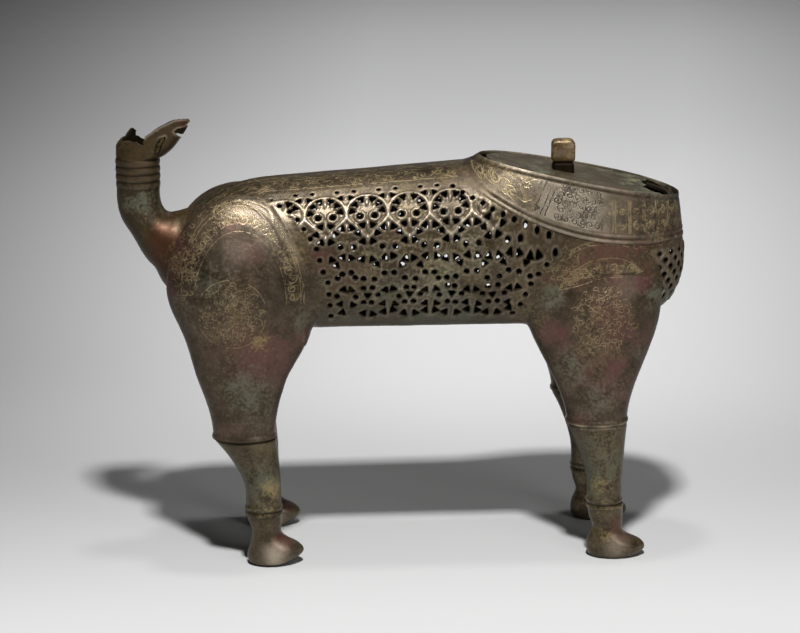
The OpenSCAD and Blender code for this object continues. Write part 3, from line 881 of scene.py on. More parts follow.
@dataclass
class Openwork:
    """The pierced pattern of one flank, in mm along the trunk and mm round it from the flank line."""

    cell: float = 32.3
    first: float = 2.0
    eye_v: float = 36.8
    eye_out: float = 5.7
    left_v: tuple[float, ...] = (-48, -12, -6, 11, 24, 43, 47, 62)
    left_u: tuple[float, ...] = (-62, -65, -69, -73, -80, -91, -97, -112)
    right_v: tuple[float, ...] = (-48, -37, -20, -8, 4, 10, 14, 20, 25, 32, 39, 44, 51, 62)
    right_u: tuple[float, ...] = (84, 92, 99, 108, 119, 118, 106, 93, 83, 71.5, 64, 57.5, 49, 37)
    top_v: float = 62.0
    low_v: float = -45.5
    shrink: float = 1.0
    bridge: float = 0.7
    edge_r: float = 1.9
    edge_in: float = 3.4
    edge_pitch: float = 9.4
    wedge_power: float = 2.6
    wedge_size: float = 0.93
    spots: list[tuple[float, float, float, float, Hole]] = field(default_factory=list)

    def __post_init__(self) -> None:
        """Sets out the piercings, the two slanting borders first."""
        draw = np.random.default_rng(5)
        self.border()
        for pair in PAIRS:
            for k in range(-5, 5):
                axis = self.first + (k + 0.5 * pair.between) * self.cell
                for s in (-1, 1) if pair.out else (1,):
                    self.place(pair, axis, s, draw.uniform(-1, 1, 3))

    def place(self, pair: Pair, axis: float, s: int, chance: Array) -> None:
        """Adds one piercing of a pair, the lower ones a little out of line.

        Args:
            pair: the pair.
            axis: where its axis stands.
            s: -1 for the left one and 1 for the right one.
            chance: three draws from -1 to 1.
        """
        loose = 0.9 * float(smooth(20, 0, pair.v))
        u, v = axis + s * pair.out + loose * chance[0], pair.v + loose * chance[1]
        if pair.aim is None:
            self.add(u, v, pair.r, 0.0, Hole.ROUND)
        else:
            turn = math.degrees(math.atan2(pair.aim - v, axis - u)) - 90
            self.add(u, v, pair.r, turn + 18 * loose * chance[2], Hole.WEDGE)

    def left(self, v: Array) -> Array:
        """Left edge of the openwork at height v."""
        return np.interp(v, self.left_v, self.left_u)

    def right(self, v: Array) -> Array:
        """Right edge of the openwork at height v."""
        return np.interp(v, self.right_v, self.right_u)

    def add(self, u: float, v: float, r: float, turn: float, shape: Hole) -> None:
        """Adds a piercing where it is inside the edges and clear of the others.

        Args:
            u: place along the trunk.
            v: place round it.
            r: its radius.
            turn: its turn in degrees.
            shape: its outline.
        """
        if not (self.low_v <= v <= self.top_v and self.left(v) + 2 < u < self.right(v) - 2):
            return
        if any(math.hypot(u - a, v - b) < r + c + self.bridge for a, b, c, *_ in self.spots):
            return
        self.spots.append((u, v, r * self.shrink, turn, shape))

    def border(self) -> None:
        """Rows of round piercings along the two slanting edges."""
        for edge, inward in ((self.left, self.edge_in), (self.right, -self.edge_in)):
            v, last = self.low_v + 1, (0.0, -99.0)
            while v < self.top_v - 2:
                spot = (float(edge(v)) + inward, v)
                if math.dist(spot, last) > self.edge_pitch:
                    self.add(*spot, self.edge_r, 0, Hole.ROUND)
                    last = spot
                v += 0.3

    def keep(self, u: Array, v: Array) -> Array:
        """How far places lie outside the piercings.

        Args:
            u: place along the trunk, per row of a grid.
            v: place round it, per column.

        Returns:
            Distance in mm on the grid, negative inside a piercing.
        """
        out = np.full((len(u), len(v)), FAR)
        for a, b, r, turn, shape in self.spots:
            i = np.nonzero(np.abs(u - a) < FAR)[0]
            j = np.nonzero(np.abs(v - b) < FAR)[0]
            if not len(i) or not len(j):
                continue
            du, dv = np.meshgrid(u[i] - a, v[j] - b, indexing="ij")
            if shape is Hole.ROUND:
                d = np.hypot(du, dv) - r
            else:
                normals = [math.radians(150 + turn + 120 * k) for k in range(3)]
                k = self.wedge_power
                sides = [np.maximum(0, du * math.cos(t) + dv * math.sin(t)) ** k for t in normals]
                d = sum(sides) ** (1 / k) - r * self.wedge_size
            window = np.ix_(i, j)
            out[window] = np.minimum(out[window], d)
        return out

    def strapwork(self, u: Array, v: Array) -> tuple[Array, Array]:
        """The straps, rings and leaves between the piercings.

        Args:
            u: place along the trunk, per row of a grid.
            v: place round it, per column.

        Returns:
            Height in mm and the share of rubbed metal, more on the upper rows as a painted highlight, both on the
            grid.
        """
        uu, vv = np.meshgrid(u, v, indexing="ij")
        inside = smooth(-2.5, 1.5, uu - self.left(vv)) * smooth(-2.5, 1.5, self.right(vv) - uu)
        inside *= smooth(self.low_v - 5, self.low_v - 1, vv) * smooth(self.top_v + 3, self.top_v, vv)
        own = (uu - self.first + self.cell / 2) % self.cell - self.cell / 2
        mid = (uu - self.first) % self.cell - self.cell / 2
        b = vv - self.eye_v
        high = np.zeros_like(uu)

        def strap(distance: Array, width: float, height: float) -> None:
            """Lays a rounded strap."""
            np.maximum(high, height * (1 - smooth(0.35 * width, 1.05 * width, distance)), out=high)

        def leaf(du: Array, dv: Array, a: float, c: float, height: float, tilt: float = 0.0) -> None:
            """Lays a pointed drop.

            Args:
                du: places along the trunk, from its middle.
                dv: places round the trunk, from its middle.
                a: its half width.
                c: its half length.
                height: how high it stands.
                tilt: its tilt in degrees.
            """
            t = math.radians(tilt)
            across, along = du * math.cos(t) - dv * math.sin(t), du * math.sin(t) + dv * math.cos(t)
            taper = np.maximum(0.25, 1 - (along / c) ** 2)
            np.maximum(high, height * (1 - smooth(0.2, 1.0, np.hypot(across / (a * taper), along / c))), out=high)

        def zigzag(local: Array, top: float, low: float, width: float, height: float) -> None:
            """Lays a strap from peaks between the axes down to the axes.

            Args:
                local: places along the trunk, from the nearest axis.
                top: where the peaks lie.
                low: where the feet lie.
                width: the strap's width.
                height: how high it stands.
            """
            fall = (top - low) / (self.cell / 2)
            d = np.abs(vv - low - fall * np.abs(local)) / math.hypot(1, fall)
            strap(np.where((vv < top + 2) & (vv > low - 2), d, FAR), width, height)

        ring = np.abs(np.hypot(own, b - 3.0) - 16.0)
        strap(np.where(b > -1.0, ring, FAR), 1.9, 0.55)
        zigzag(own, self.eye_v - 1.0, 18.2, 2.1, 1.0)
        for s in (-1, 1):
            strap(np.abs(np.hypot(own - s * self.eye_out, b) - 3.9), 1.5, 0.65)
            for tilt, far in ((s * 31, 10.5), (s * 60, 10.5)):
                t = math.radians(tilt)
                leaf(own - far * math.sin(t), b - 2.5 - far * math.cos(t), 1.5, 4.2, 0.8, tilt)
            leaf(own - s * 7.6, b + 8.0, 1.2, 4.0, 0.7, s * 30)
            strap(np.abs(np.hypot(mid - s * 5.0, vv - 12.2) - 3.7), 1.1, 0.4)
        leaf(own, b - 12.0, 1.6, 5.4, 0.95)
        leaf(own, b + 8.2, 1.4, 4.6, 0.85)
        leaf(mid, b + 9.6, 1.6, 5.0, 1.0)
        leaf(mid, b - 16.5, 1.3, 4.0, 0.7)
        leaf(mid, vv - 3.0, 1.3, 4.0, 0.4)
        leaf(own, vv - 1.0, 1.3, 4.0, 0.4)
        for middle, level in ((mid, 8.0), (own, -7.0), (mid, -15.0), (own, -27.0), (mid, -36.0)):
            for tilt in (-120, -60, 0, 60, 120, 180):
                t = math.radians(tilt)
                leaf(middle - 7.0 * math.sin(t), vv - level - 7.0 * math.cos(t), 1.3, 4.4, 0.45, tilt)
        zigzag(mid, -6.0, -17.0, 1.3, 0.3)
        # rubbed metal on the raised straps, painted stronger on the upper rows as a painted highlight
        wear_and_glint = np.clip(high, 0, 1) ** 1.3 * (0.35 + 0.4 * smooth(4.0, 20.0, vv))
        return high * inside, wear_and_glint * inside


@dataclass
class Trunk:
    """The pierced trunk, the collar round its neck and the plate in its belly."""

    fine: float = 1.0
    arc_r: float = 63.0
    belly_x: Spot = (-61.0, 91.0)
    belly_half: float = 24.0
    belly_top: float = 190.0
    seam: float = 0.25
    tip_rows: int = 18
    collar_proud: float = 0.5
    groove_in: float = 3.7
    beads_in: Spot = (1.4, 6.2)
    ledge_depth: float = 3.7
    ledge_t: float = 2.5
    ledge_w: float = 5.0
    lattice_pitch: float = 8.2
    lattice_hole: float = 2.0
    lattice_h: float = 0.7
    lattice_x: float = 150.0
    lattice_rise: Spot = (-43.5, 3.5)
    lattice_least: float = 40.0
    lattice_most: float = 52.0
    lattice_taper: float = 0.5
    openwork: Openwork = field(default_factory=Openwork)
    far_openwork: Openwork = field(default_factory=lambda: Openwork(first=4.0, shrink=0.76))

    def angles(self) -> tuple[Array, Array]:
        """Lays out the section's columns, from the belly up the right side and down the left.

        Returns:
            Their angles and sides.
        """
        power = FORM.belly_power / 2
        full = FORM.flank_h - FORM.belly_h
        y = np.arange(0, 42, 4.0)
        low = -np.arccos((y / FORM.half) ** power)
        z = spread([(45.0, self.fine), (0.0, self.fine)])
        side = -np.arcsin((z / full) ** power)
        top = spread([(0.0, self.fine / self.arc_r), (66 / self.arc_r, 1.4 / 56), (math.pi / 2, 1.0)])
        right = np.concatenate([low, side[:-1], top])
        t = np.concatenate([right, right[-2:0:-1]])
        sides = np.concatenate([np.full(len(right), -1.0), np.full(len(right) - 2, 1.0)])
        return t, sides

    def stations(self) -> Array:
        """Lays out the stations along the trunk, close together on the flanks.

        Returns:
            The stations.
        """
        rump = FORM.rump_x + FORM.rump_round * (1 - np.cos(np.radians(spread([(1.5, 3.0), (90.0, 1.0)]))))
        flank = spread([(-103.0, self.fine), (118.0, 1.3), (138.0, self.fine)])[1:]
        turn = np.radians(90 - spread([(84.5, 0.9), (6.0, 0.5)]))
        breast = FORM.breast_x - FORM.breast_taper + FORM.breast_taper * np.sin(turn)
        return np.concatenate([rump, flank, breast])

    def tipped(self, x: Array, grid: Array, back: Array, g: float) -> tuple[Array, Array, Array]:
        """Adds the rows that close the breast's tip.

        Args:
            x: stations along the trunk.
            grid: skin points by station and column.
            back: points of the inner face behind them.
            g: how far the skin is grown.

        Returns:
            The stations, the skin and the inner face with the added rows.
        """
        share = np.linspace(1, 0, self.tip_rows + 1)[1:, None]
        ahead = FORM.breast_x + g + (x[-1] - FORM.breast_x - g) * share.ravel()
        back = back.reshape(grid.shape)
        inner = np.stack([back[-1, :, 0] + 0 * share, back[-1, :, 1] * share, back[-1, :, 2] + 0 * share], -1)
        skin = FORM.closing(x[-1], grid[-1], g, self.tip_rows)
        return np.concatenate([x, ahead]), np.concatenate([grid, skin]), np.concatenate([back, inner])

    def zipped(self, shell: Shell, grid: Array, mirror: Array) -> Shell:
        """Joins the two sides of a sheet on the middle plane at the breast's tip.

        Args:
            shell: the sheet over the grid.
            grid: skin points by station and column.
            mirror: for each column the one on the other side.

        Returns:
            The joined sheet.
        """
        rows, cols, _ = grid.shape
        index = np.arange(rows * cols).reshape(rows, cols)
        index[-1] = index[-1, np.minimum(np.arange(cols), mirror)]
        middle = mirror == np.arange(cols)
        index[-self.tip_rows :, middle] = index[-self.tip_rows - 1, middle]
        return shell.merged(index.ravel())

    def round_v(self, t: Array) -> Array:
        """Place round the section, in mm from the flank line."""
        drop = (FORM.flank_h - FORM.belly_h) * np.abs(np.sin(t)) ** (2 / FORM.belly_power)
        return np.where(t >= 0, self.arc_r * t, -drop)

    def grid(self, x: Array, t: Array, sides: Array, g: float) -> Array:
        """Skin points for all stations and columns."""
        return FORM.skin(x[:, None], t[None, :], sides[None, :], g)

    def inner(self, x: Array, t: Array, sides: Array) -> Array:
        """Finds the casting's inner face.

        Args:
            x: stations along the trunk.
            t: angles of the columns.
            sides: sides of the columns.

        Returns:
            Its points behind all stations and columns, n by 3.
        """
        ends = FORM.rump_x + FORM.wall + 0.3, FORM.breast_x - FORM.wall - 0.3
        inner = self.grid(np.clip(x, *ends), t, sides, -FORM.wall).reshape(-1, 3)
        rise = inner[:, 2] - FORM.flank_h
        most = np.abs(self.grid(x, t, sides, 0.0).reshape(-1, 3)[:, 2] - FORM.flank_h)
        inner[:, 2] = FORM.flank_h + np.clip(rise, -most, most)
        return inner

    @staticmethod
    def plan_run(line: Array) -> Array:
        """Distance round the plan at each point of a line along the trunk."""
        steps = np.hypot(np.diff(line[:, 0]), np.diff(line[:, 1]))
        return line[0, 0] + np.concatenate([[0], np.cumsum(steps)])

    def shell(self, finish: Material, legs: tuple[Leg, ...]) -> None:
        """Builds the trunk with its piercings, straps, breast openwork, engraved back and fillets to the legs.

        Args:
            finish: its material.
            legs: the legs that meet it.
        """
        x, (t, sides) = self.stations(), self.angles()
        v = self.round_v(t)
        x, grid, back = self.tipped(x, self.grid(x, t, sides, 0.0), self.inner(x, t, sides), 0.0)
        shell = self.zipped(Shell.sheet(grid, closed=True), grid, -np.arange(len(t)) % len(t))
        shell.layers[BACK] = back.reshape(-1, 3)
        keep, high, wear_and_glint = np.zeros((3, len(x), len(v)))
        for work, cols in ((self.openwork, sides < 0), (self.far_openwork, sides > 0)):
            keep[:, cols] = work.keep(x, v[cols])
            high[:, cols], wear_and_glint[:, cols] = work.strapwork(x, v[cols])
        front_keep, front_high = self.breast_openwork(x, grid)
        keep = np.minimum(keep, front_keep)
        high = np.maximum(high, front_high)
        lines, edge = self.back_band(x, v)
        p = shell.points
        ridge = haunch_ridge(p) * smooth(25, 35, np.abs(p[:, 1]))
        rough = np.clip(0.55 + 0.9 * Grain(5.0, 7).at(p), 0, 1)
        lip = 0.24 * bell(keep, 1.0, 0.7).ravel() - 0.3 * bell(keep, 0.0, 0.4).ravel()
        relief = (high + edge).ravel() + lip + roughcast(p) + ridge - 0.9 * smooth(205, 222, p[:, 0])
        relief += fillet(np.min([leg.outside(np.abs(p * [0, 1, 0]) + p * [1, 0, 1]) for leg in legs], axis=0))
        shell.emboss(relief)
        shell.engrave(nearest(lines.ravel(), thigh_lines(p)))
        shell.put(Layer.BRIGHT, wear_and_glint.ravel() * (0.6 + 0.4 * rough))
        shell.put(Layer.BRIGHT, 0.35 * front_high.ravel())
        shell.put(Layer.BRIGHT, 0.34 * bell(keep, 1.1, 0.7).ravel() * rough)
        # painted highlight along the haunch ridge, stronger higher up
        shell.put(Layer.BRIGHT, 0.35 * ridge * smooth(225, 265, p[:, 2]))
        # darker at the piercings' edges; painted shade along the back, from 62 mm round the section upwards
        shell.put(Layer.DARK, np.maximum(0.95 * bell(keep, 0.0, 0.5), 0.22 * smooth(62, 72, v)).ravel())
        patinate(shell)
        run = np.repeat(x, len(t))
        shell = shell.cut({
            "under": FORM.border_z(run) - self.seam - p[:, 2],
            "keep": np.minimum(keep.ravel(), self.plate_keep(p)),
        })
        shell.walled().piece("trunk", Body.LION, Slot.BROWN, finish, "trunk_shell")

    def plate_keep(self, p: Array) -> Array:
        """Measures how far points lie outside the belly plate's opening.

        Args:
            p: n by 3.

        Returns:
            The distances, and FAR away from the belly.
        """
        middle = sum(self.belly_x) / 2
        reach = (self.belly_x[1] - self.belly_x[0]) / 2 + self.seam
        d = np.maximum(np.abs(p[:, 0] - middle) - reach, np.abs(p[:, 1]) - self.belly_half - self.seam)
        return np.where(p[:, 2] < 205, d, FAR)

    def breast_openwork(self, x: Array, grid: Array) -> tuple[Array, Array]:
        """The small lattice of piercings across the breast.

        Args:
            x: stations along the trunk.
            grid: skin points by station and column.

        Returns:
            Distance outside the piercings and the height of the straps, on the grid.
        """
        front, z = x > self.lattice_x, grid[..., 2]
        ahead = np.where(z > FORM.flank_h, FORM.breast_x, np.interp(z, grid[front, 0, 2], x[front]))
        aa = np.hypot(grid[..., 1], np.maximum(0, ahead - grid[..., 0]))
        zz = z - FORM.flank_h
        pitch, (low, high) = self.lattice_pitch, self.lattice_rise
        a, b = (aa + zz) / pitch / 1.414, (aa - zz) / pitch / 1.414
        da, db = a - np.round(a), b - np.round(b)
        d = np.hypot(da, db) * pitch - self.lattice_hole
        reach = np.maximum(self.lattice_least, self.lattice_most + self.lattice_taper * zz)
        inside = (aa < reach) & (zz > low) & (zz < high) & front[:, None]
        keep = np.where(inside, d, FAR)
        edge = np.minimum(0.5 - np.abs(da), 0.5 - np.abs(db)) * pitch
        return keep, np.where(inside, self.lattice_h * (1 - smooth(0.2, 1.2, edge)), 0.0)

    def back_band(self, x: Array, v: Array) -> tuple[Array, Array]:
        """Lays out the engraved band along the back.

        Args:
            x: stations along the trunk.
            v: places round it.

        Returns:
            Signed distance to its lines and the height of its raised edge, on the grid.
        """
        uu, vv = np.meshgrid(x, v, indexing="ij")
        places = np.stack([uu.ravel(), vv.ravel()], 1)
        strokes = Scroll.vine(-160, 44, 76, 13, 12) + Scroll.vine(-150, 60, 91, 9, 9)
        for level in (66.5, 68.5, 84.5):
            strokes.append(Scroll.line((-160, level), (50, level)))
        edge = 0.12 * bell(vv, 64.5, 1.4) * smooth(-112, -104, uu) * smooth(36, 28, uu)
        return Scroll.distance(places, strokes).reshape(uu.shape), edge

    def collar(self, finish: Material) -> None:
        """Builds the collar: border strip, scroll panels, rim and the ledge inside.

        Args:
            finish: its material.
        """
        stations = self.stations()
        x = np.concatenate([spread([(30.0, 1.0), (172.0, 1.0)])[:-1], stations[stations > 172]])
        t = spread([(0.02, 0.3 / 60), (0.25, 0.5 / 60), (1.25, 1.0 / 60), (math.pi / 2, 1.0)])
        t = np.concatenate([t, t[-2::-1]])
        sides = np.concatenate([np.full(len(t) // 2 + 1, -1.0), np.full(len(t) // 2, 1.0)])
        skin = self.grid(x, t, sides, self.collar_proud)
        x, grid, back = self.tipped(x, skin, self.inner(x, t, sides), self.collar_proud)
        shell = self.zipped(Shell.sheet(grid), grid, np.arange(len(t))[::-1])
        shell.layers[BACK] = back.reshape(-1, 3)
        p = shell.points
        over = p[:, 2] - FORM.border_z(np.repeat(x, len(t)))
        under = FORM.rim_z(p[:, 0]) - p[:, 2]
        run = np.repeat(self.plan_run(grid[:, 0]), len(t))
        ground = smooth(7.4, 8.6, over) * smooth(3.6, 4.8, under)
        shell.engrave(self.panel_distance(np.stack([run, over], 1)) / 1.5, ground)
        fade = smooth(52, 84, run)
        line, (low, high) = self.groove_in, self.beads_in
        groove = np.maximum(0.8 * bell(over, line, 0.9) * fade, 0.7 * bell(under, line, 1.1))
        strip = (bell(over, low, 1.1) + 0.9 * bell(over, high, 1.0)) * fade
        relief = 0.42 * strip + 0.25 * smooth(4.2, 1.8, under) - 0.3 * groove + roughcast(p, 0.8)
        relief = relief - 0.35 * (1 - fade) - 0.9 * smooth(192, 212, p[:, 0])
        shell.emboss(relief)
        rough = np.clip(0.6 + 0.8 * Grain(5.0, 9).at(p), 0, 1)
        silver = smooth(92, 112, run) * (1 - smooth(140, 160, run))
        lit = smooth(50, 90, run) * (1 - 0.7 * smooth(150, 185, run))
        edge = np.maximum(smooth(2.4, 0.8, under), 0.75 * strip) * lit
        shell.put(Layer.BRIGHT, edge * (0.5 + 0.5 * rough))
        shell.put(Layer.BRIGHT, (0.85 * silver + 0.25 * lit) * ground * (0.65 + 0.35 * rough))
        shell.put(Layer.RED, 0.35 * smooth(150, 175, run))
        shell.put(Layer.DARK, 0.55 * groove)
        patinate(shell)
        shell.put(Layer.OCHRE, 0.3 * (1 - smooth(50, 75, run)) * rough)
        shell = shell.cut({"over": over - 0.05, "under": under})
        shell.walled().joined(self.ledge()).piece("collar", Body.LION, Slot.GREEN, finish, "neck_collar")

    @staticmethod
    def panel_distance(places: Array) -> Array:
        """Measures the distance to the collar's engraved lines: scrolls, bars and fine curls.

        Args:
            places: places along the collar and over its border, n by 2.

        Returns:
            The signed distances.
        """
        strokes = Scroll.vine(52, 98, 18, 15, 12) + Scroll.vine(64, 100, 31, 9, 8)
        for u in (101.0, 104.0, 109.0, 112.0):
            strokes.append(Scroll.line((u - 6, 9), (u + 6, 40)))
        for row, level in enumerate(np.arange(12, 38, 6.2)):
            for k, u in enumerate(np.arange(116 + 3 * (row % 2), 152, 6.4)):
                spot = (float(u), float(level))
                strokes.append(Scroll.curl(spot, 3.4, 70 * k + 40 * row, Scroll.hand(k + row), 1.2))
        for k, u in enumerate(np.arange(160.0, 300.0, 13.0).tolist()):
            strokes += [Scroll.line((bar, 10), (bar, 33)) for bar in (u, u + 2.4)]
            for turn, level in enumerate((15, 26)):
                strokes.append(Scroll.curl((u + 7.5, level), 3.6, 90 * k + 180 * turn, Scroll.hand(k + turn)))
        return Scroll.distance(places, strokes)

    def ledge(self) -> Shell:
        """Makes the ring inside the neck that carries the cover.

        Returns:
            Its mesh.
        """
        along = np.linspace(-81, 79, 250)
        outer, inner = FORM.rim_half(along, -FORM.wall + 0.6), FORM.rim_half(along, -FORM.wall - self.ledge_w)
        used = outer > 1
        along, outer, inner = along[used], outer[used], np.maximum(inner[used], 0)
        grid = np.stack([
            FORM.on_rim(along, s * y, np.full_like(along, -self.ledge_depth))
            for s, y in ((-1, outer), (-1, inner), (1, inner), (1, outer))
        ])
        zero = np.zeros(1)
        down = (FORM.on_rim(zero, zero, zero - 1) - FORM.on_rim(zero, zero, zero))[0]
        shell = Shell.sheet(grid)
        cols = grid.shape[1]
        middle = (shell.faces >= cols).all(1) & (shell.faces < 3 * cols).all(1)
        gap = inner[shell.faces % cols].min(1) > 0.05
        shell.faces = shell.faces[~(middle & gap)]
        shell.layers[BACK] = shell.points + down * self.ledge_t
        shell.put(Layer.DARK, np.full(len(shell.points), 0.6))
        return shell.walled()

    def belly_plate(self, finish: Material) -> None:
        """Builds the plate that closes the belly.

        Args:
            finish: its material.
        """
        x = spread([(self.belly_x[0], 4.0), (self.belly_x[1], 1.0)])
        y = spread([(-self.belly_half, 2.0), (self.belly_half, 1.0)])
        k = FORM.belly_power
        drop = (FORM.flank_h - FORM.belly_h) * (1 - (np.abs(y) / FORM.half) ** k) ** (1 / k)
        grid = np.stack(np.broadcast_arrays(x[:, None], y[None, :], (FORM.flank_h - drop)[None, :]), -1)
        shell = Shell.sheet(grid[:, ::-1])
        shell.layers[BACK] = shell.points * [1, 1, 0] + [0, 0, self.belly_top]
        shell.points = shell.points + [0, 0, 1] * np.minimum(0.6, 0.2 + roughcast(shell.points))[:, None]
        patinate(shell).walled().piece("belly_plate_skin", Body.LION, Slot.BROWN, finish, "belly_plate")


@dataclass
class Leg:
    """One leg on the lion's left, mirrored for the right: thigh, shank and foot.

    A row of the foot is its height, half length, shift ahead of the ankle and half width.
    """

    name: str
    x: float
    length: float
    knee_h: float
    mid_h: float
    dome: float
    proud: float
    flare: float
    ankle_x: float
    toe: float
    widen: float
    lift: float
    # strength of the painted highlight on the instep
    wear_and_glint: float
    leg_y: float = 46.0
    knee_len: float = 49.0
    knee_w: float = 36.0
    knee_shift: float = 2.5
    knee_lip: float = 1.0
    thigh_w: float = 52.0
    dome_shift: float = 6.0
    web_reach: float = 36.0
    ankle_h: float = 45.0
    ankle_len: float = 28.0
    ankle_w: float = 26.0
    ring_proud: float = 0.9
    cast_wall: float = 3.0
    swell_low: Spot = (188.0, 212.0)
    swell_high: Spot = (240.0, 285.0)
    foot_rows: tuple[tuple[float, float, float, float], ...] = ()
    foot_top: Place = (0.0, 0.0, 0.0)
    solder: float = 0.0

    def thigh_name(self) -> str:
        """What this leg's thigh is called."""
        return "haunch" if self.name == "hind" else "shoulder"

    def thigh_grid(self, g: float) -> tuple[Array, Array]:
        """Makes the thigh's rings from the knee to the dome.

        Args:
            g: how far the thigh is grown.

        Returns:
            The points by ring and angle, and their heights over the knee.
        """
        turn = np.radians(spread([(-180.0, 1.7), (-150.0, 1.15), (-30.0, 1.7), (0.0, 7.0), (180.0, 1.0)])[:-1])
        rise = spread([(0.0, 0.8), (5.0, 2.2), (65.0, 1.15), (self.mid_h - self.knee_h, 1.0)])
        z = self.knee_h + rise
        cx, cy, a, b = self.section(z)
        low = Shell.rings(cx, cy, z, a + g, b + g, turn)
        tau = np.radians(spread([(0.0, 1.1), (70.0, 2.0), (89.0, 1.0)]))[1:]
        up, out = np.sin(tau), np.cos(tau)
        high = Shell.rings(
            np.full_like(tau, self.x), self.hip_y() - self.dome_shift * up, self.mid_h + (self.dome + g) * up,
            (self.length / 2 + g) * out, (self.thigh_w / 2 + g) * out, turn,
        )
        grid = np.concatenate([low, high])
        grid[..., 0] += self.swell(grid[..., 2]) * np.maximum(0, np.cos(turn)) ** 1.5
        rows = np.concatenate([rise, high[:, 0, 2] - self.knee_h])
        return grid, np.repeat(rows, len(turn))

    def hip_y(self) -> float:
        """How far out the thigh's middle lies."""
        return FORM.half + self.proud - self.thigh_w / 2

    def swell(self, z: Array) -> Array:
        """How far the thigh swells forward at a height, in mm."""
        return self.widen * smooth(*self.swell_low, z) * (1 - smooth(*self.swell_high, z))

    def section(self, z: Array) -> tuple[Array, Array, Array, Array]:
        """The thigh's oval section under its dome.

        Args:
            z: heights.

        Returns:
            Its middle along and across the lion, its half length and its half width.
        """
        s = smooth(self.knee_h, self.mid_h, z)
        web = self.flare * smooth(0.0, 1.0, 1 - np.abs(z - FORM.belly_h) / self.web_reach)
        return (
            self.x + self.knee_shift * (1 - s) + web,
            self.leg_y + (self.hip_y() - self.leg_y) * s,
            self.knee_len / 2 + (self.length - self.knee_len) / 2 * s + np.abs(web) / 4,
            self.knee_w / 2 + (self.thigh_w - self.knee_w) / 2 * s,
        )

    def brass(self, p: Array) -> Array:
        """Share of bare solder at points, were they on the knee's seam."""
        return self.solder * np.clip(0.6 + Grain(9.0, 33).at(p), 0, 1)

    def outside(self, p: Array) -> Array:
        """Measures how far points on the lion's left lie outside the thigh.

        Args:
            p: n by 3.

        Returns:
            About the distances in mm, negative inside.
        """
        x, y, z = p.T
        up = np.maximum(0, z - self.mid_h)
        cx, cy, a, b = self.section(z)
        du = x - cx
        du = du - self.swell(z) * np.clip(du / a, 0, 1) ** 1.5
        dv = y - cy + self.dome_shift * np.minimum(1, up / self.dome)
        rho = np.maximum(np.sqrt((du / a) ** 2 + (dv / b) ** 2 + (up / self.dome) ** 2), 1e-6)
        return (rho - 1) / rho * np.sqrt(du**2 + dv**2 + up**2)

    def thigh(self, finish: Material) -> None:
        """Builds both thighs of this pair, open against the trunk.

        Args:
            finish: its material.
        """
        grid, rise = self.thigh_grid(0.0)
        shell = Shell.sheet(grid, closed=True)
        shell.layers[BACK] = self.thigh_grid(-self.cast_wall)[0].reshape(-1, 3)
        p, normals = shell.points, shell.normals()
        clear = FORM.outside(p)
        facing = smooth(0.1, 0.5, normals[:, 1])
        shell.engrave(thigh_lines(p), facing)
        ridge = haunch_ridge(p) * smooth(25, 35, p[:, 1]) if self.name == "hind" else np.zeros(len(p))
        lip = self.knee_lip * (1 - smooth(2.4, 5.0, rise)) * (0.7 + 0.3 * smooth(0.0, 0.8, rise))
        relief = roughcast(p, 1.2) + ridge + lip - 0.4 + fillet(clear)
        shell.emboss(relief)
        # painted highlight along the haunch ridge, stronger higher up
        shell.put(Layer.BRIGHT, 0.35 * ridge * smooth(225, 265, p[:, 2]))
        brass = self.brass(p)
        shell.put(Layer.OCHRE, brass * bell(rise, 0.5, 1.3))
        shell.put(Layer.BRIGHT, 0.5 * brass * bell(rise, 0.4, 0.9))
        shell.put(Layer.DARK, 0.8 * bell(rise, 0.0, 0.8) * (1 - brass))
        patinate(shell)
        inner = shell.layers[BACK]
        pushed = FORM.outside(inner)
        shell.layers[BACK] = inner + np.maximum(0, 0.4 - pushed)[:, None] * normals
        made = shell.cut({"clear": clear - 0.1}).walled()
        made.both_sides(self.thigh_name(), Slot.RED, finish)

    def shank(self, finish: Material) -> None:
        """Builds both shanks: knee seam, slim leg and the upper half of the ankle ring.

        Args:
            finish: its material.
        """
        turn = np.radians(-np.arange(0, 360, 4.0))
        low, high = self.ankle_h + 0.1, self.knee_h - 0.3
        z = spread([(low, 0.7), (low + 7, 1.8), (high - 4, 0.8), (high, 1.0)])
        neck = self.ankle_h + 15
        s = np.clip((z - neck) / (self.knee_h - neck), 0, 1) ** 1.6
        g = self.ring_proud * bell(z, low + 2.4, 1.7) - 1.2 * smooth(high - 2.2, high, z)
        cx = self.ankle_x + (self.x + self.knee_shift - self.ankle_x) * s
        a = self.ankle_len / 2 + (self.knee_len - self.ankle_len) / 2 * s + g
        b = self.ankle_w / 2 + (self.knee_w - self.ankle_w) / 2 * s + g
        grid = Shell.rings(cx, np.full_like(z, self.leg_y), z, a, b, turn)
        shell = Shell.sheet(grid[:, ::-1], closed=True)
        p = shell.points
        shell.emboss(roughcast(p, 1.2))
        rows = np.repeat(z, len(turn))
        shell.put(Layer.OCHRE, 0.8 * bell(rows, low + 2.4, 1.2) * np.clip(0.5 + Grain(6.0, 31).at(p), 0, 1))
        brass = self.brass(p)
        shell.put(Layer.OCHRE, brass * bell(rows, high - 1.0, 1.4))
        shell.put(Layer.BRIGHT, 0.6 * brass * bell(rows, high - 0.8, 1.2))
        shell.put(Layer.DARK, np.maximum(0.9 * bell(rows, high, 1.2) * (1 - brass), 0.6 * bell(rows, low, 0.6)))
        patinate(shell)
        shell.capped(len(z), len(turn)).both_sides(f"{self.name}_shank", Slot.BROWN, finish)

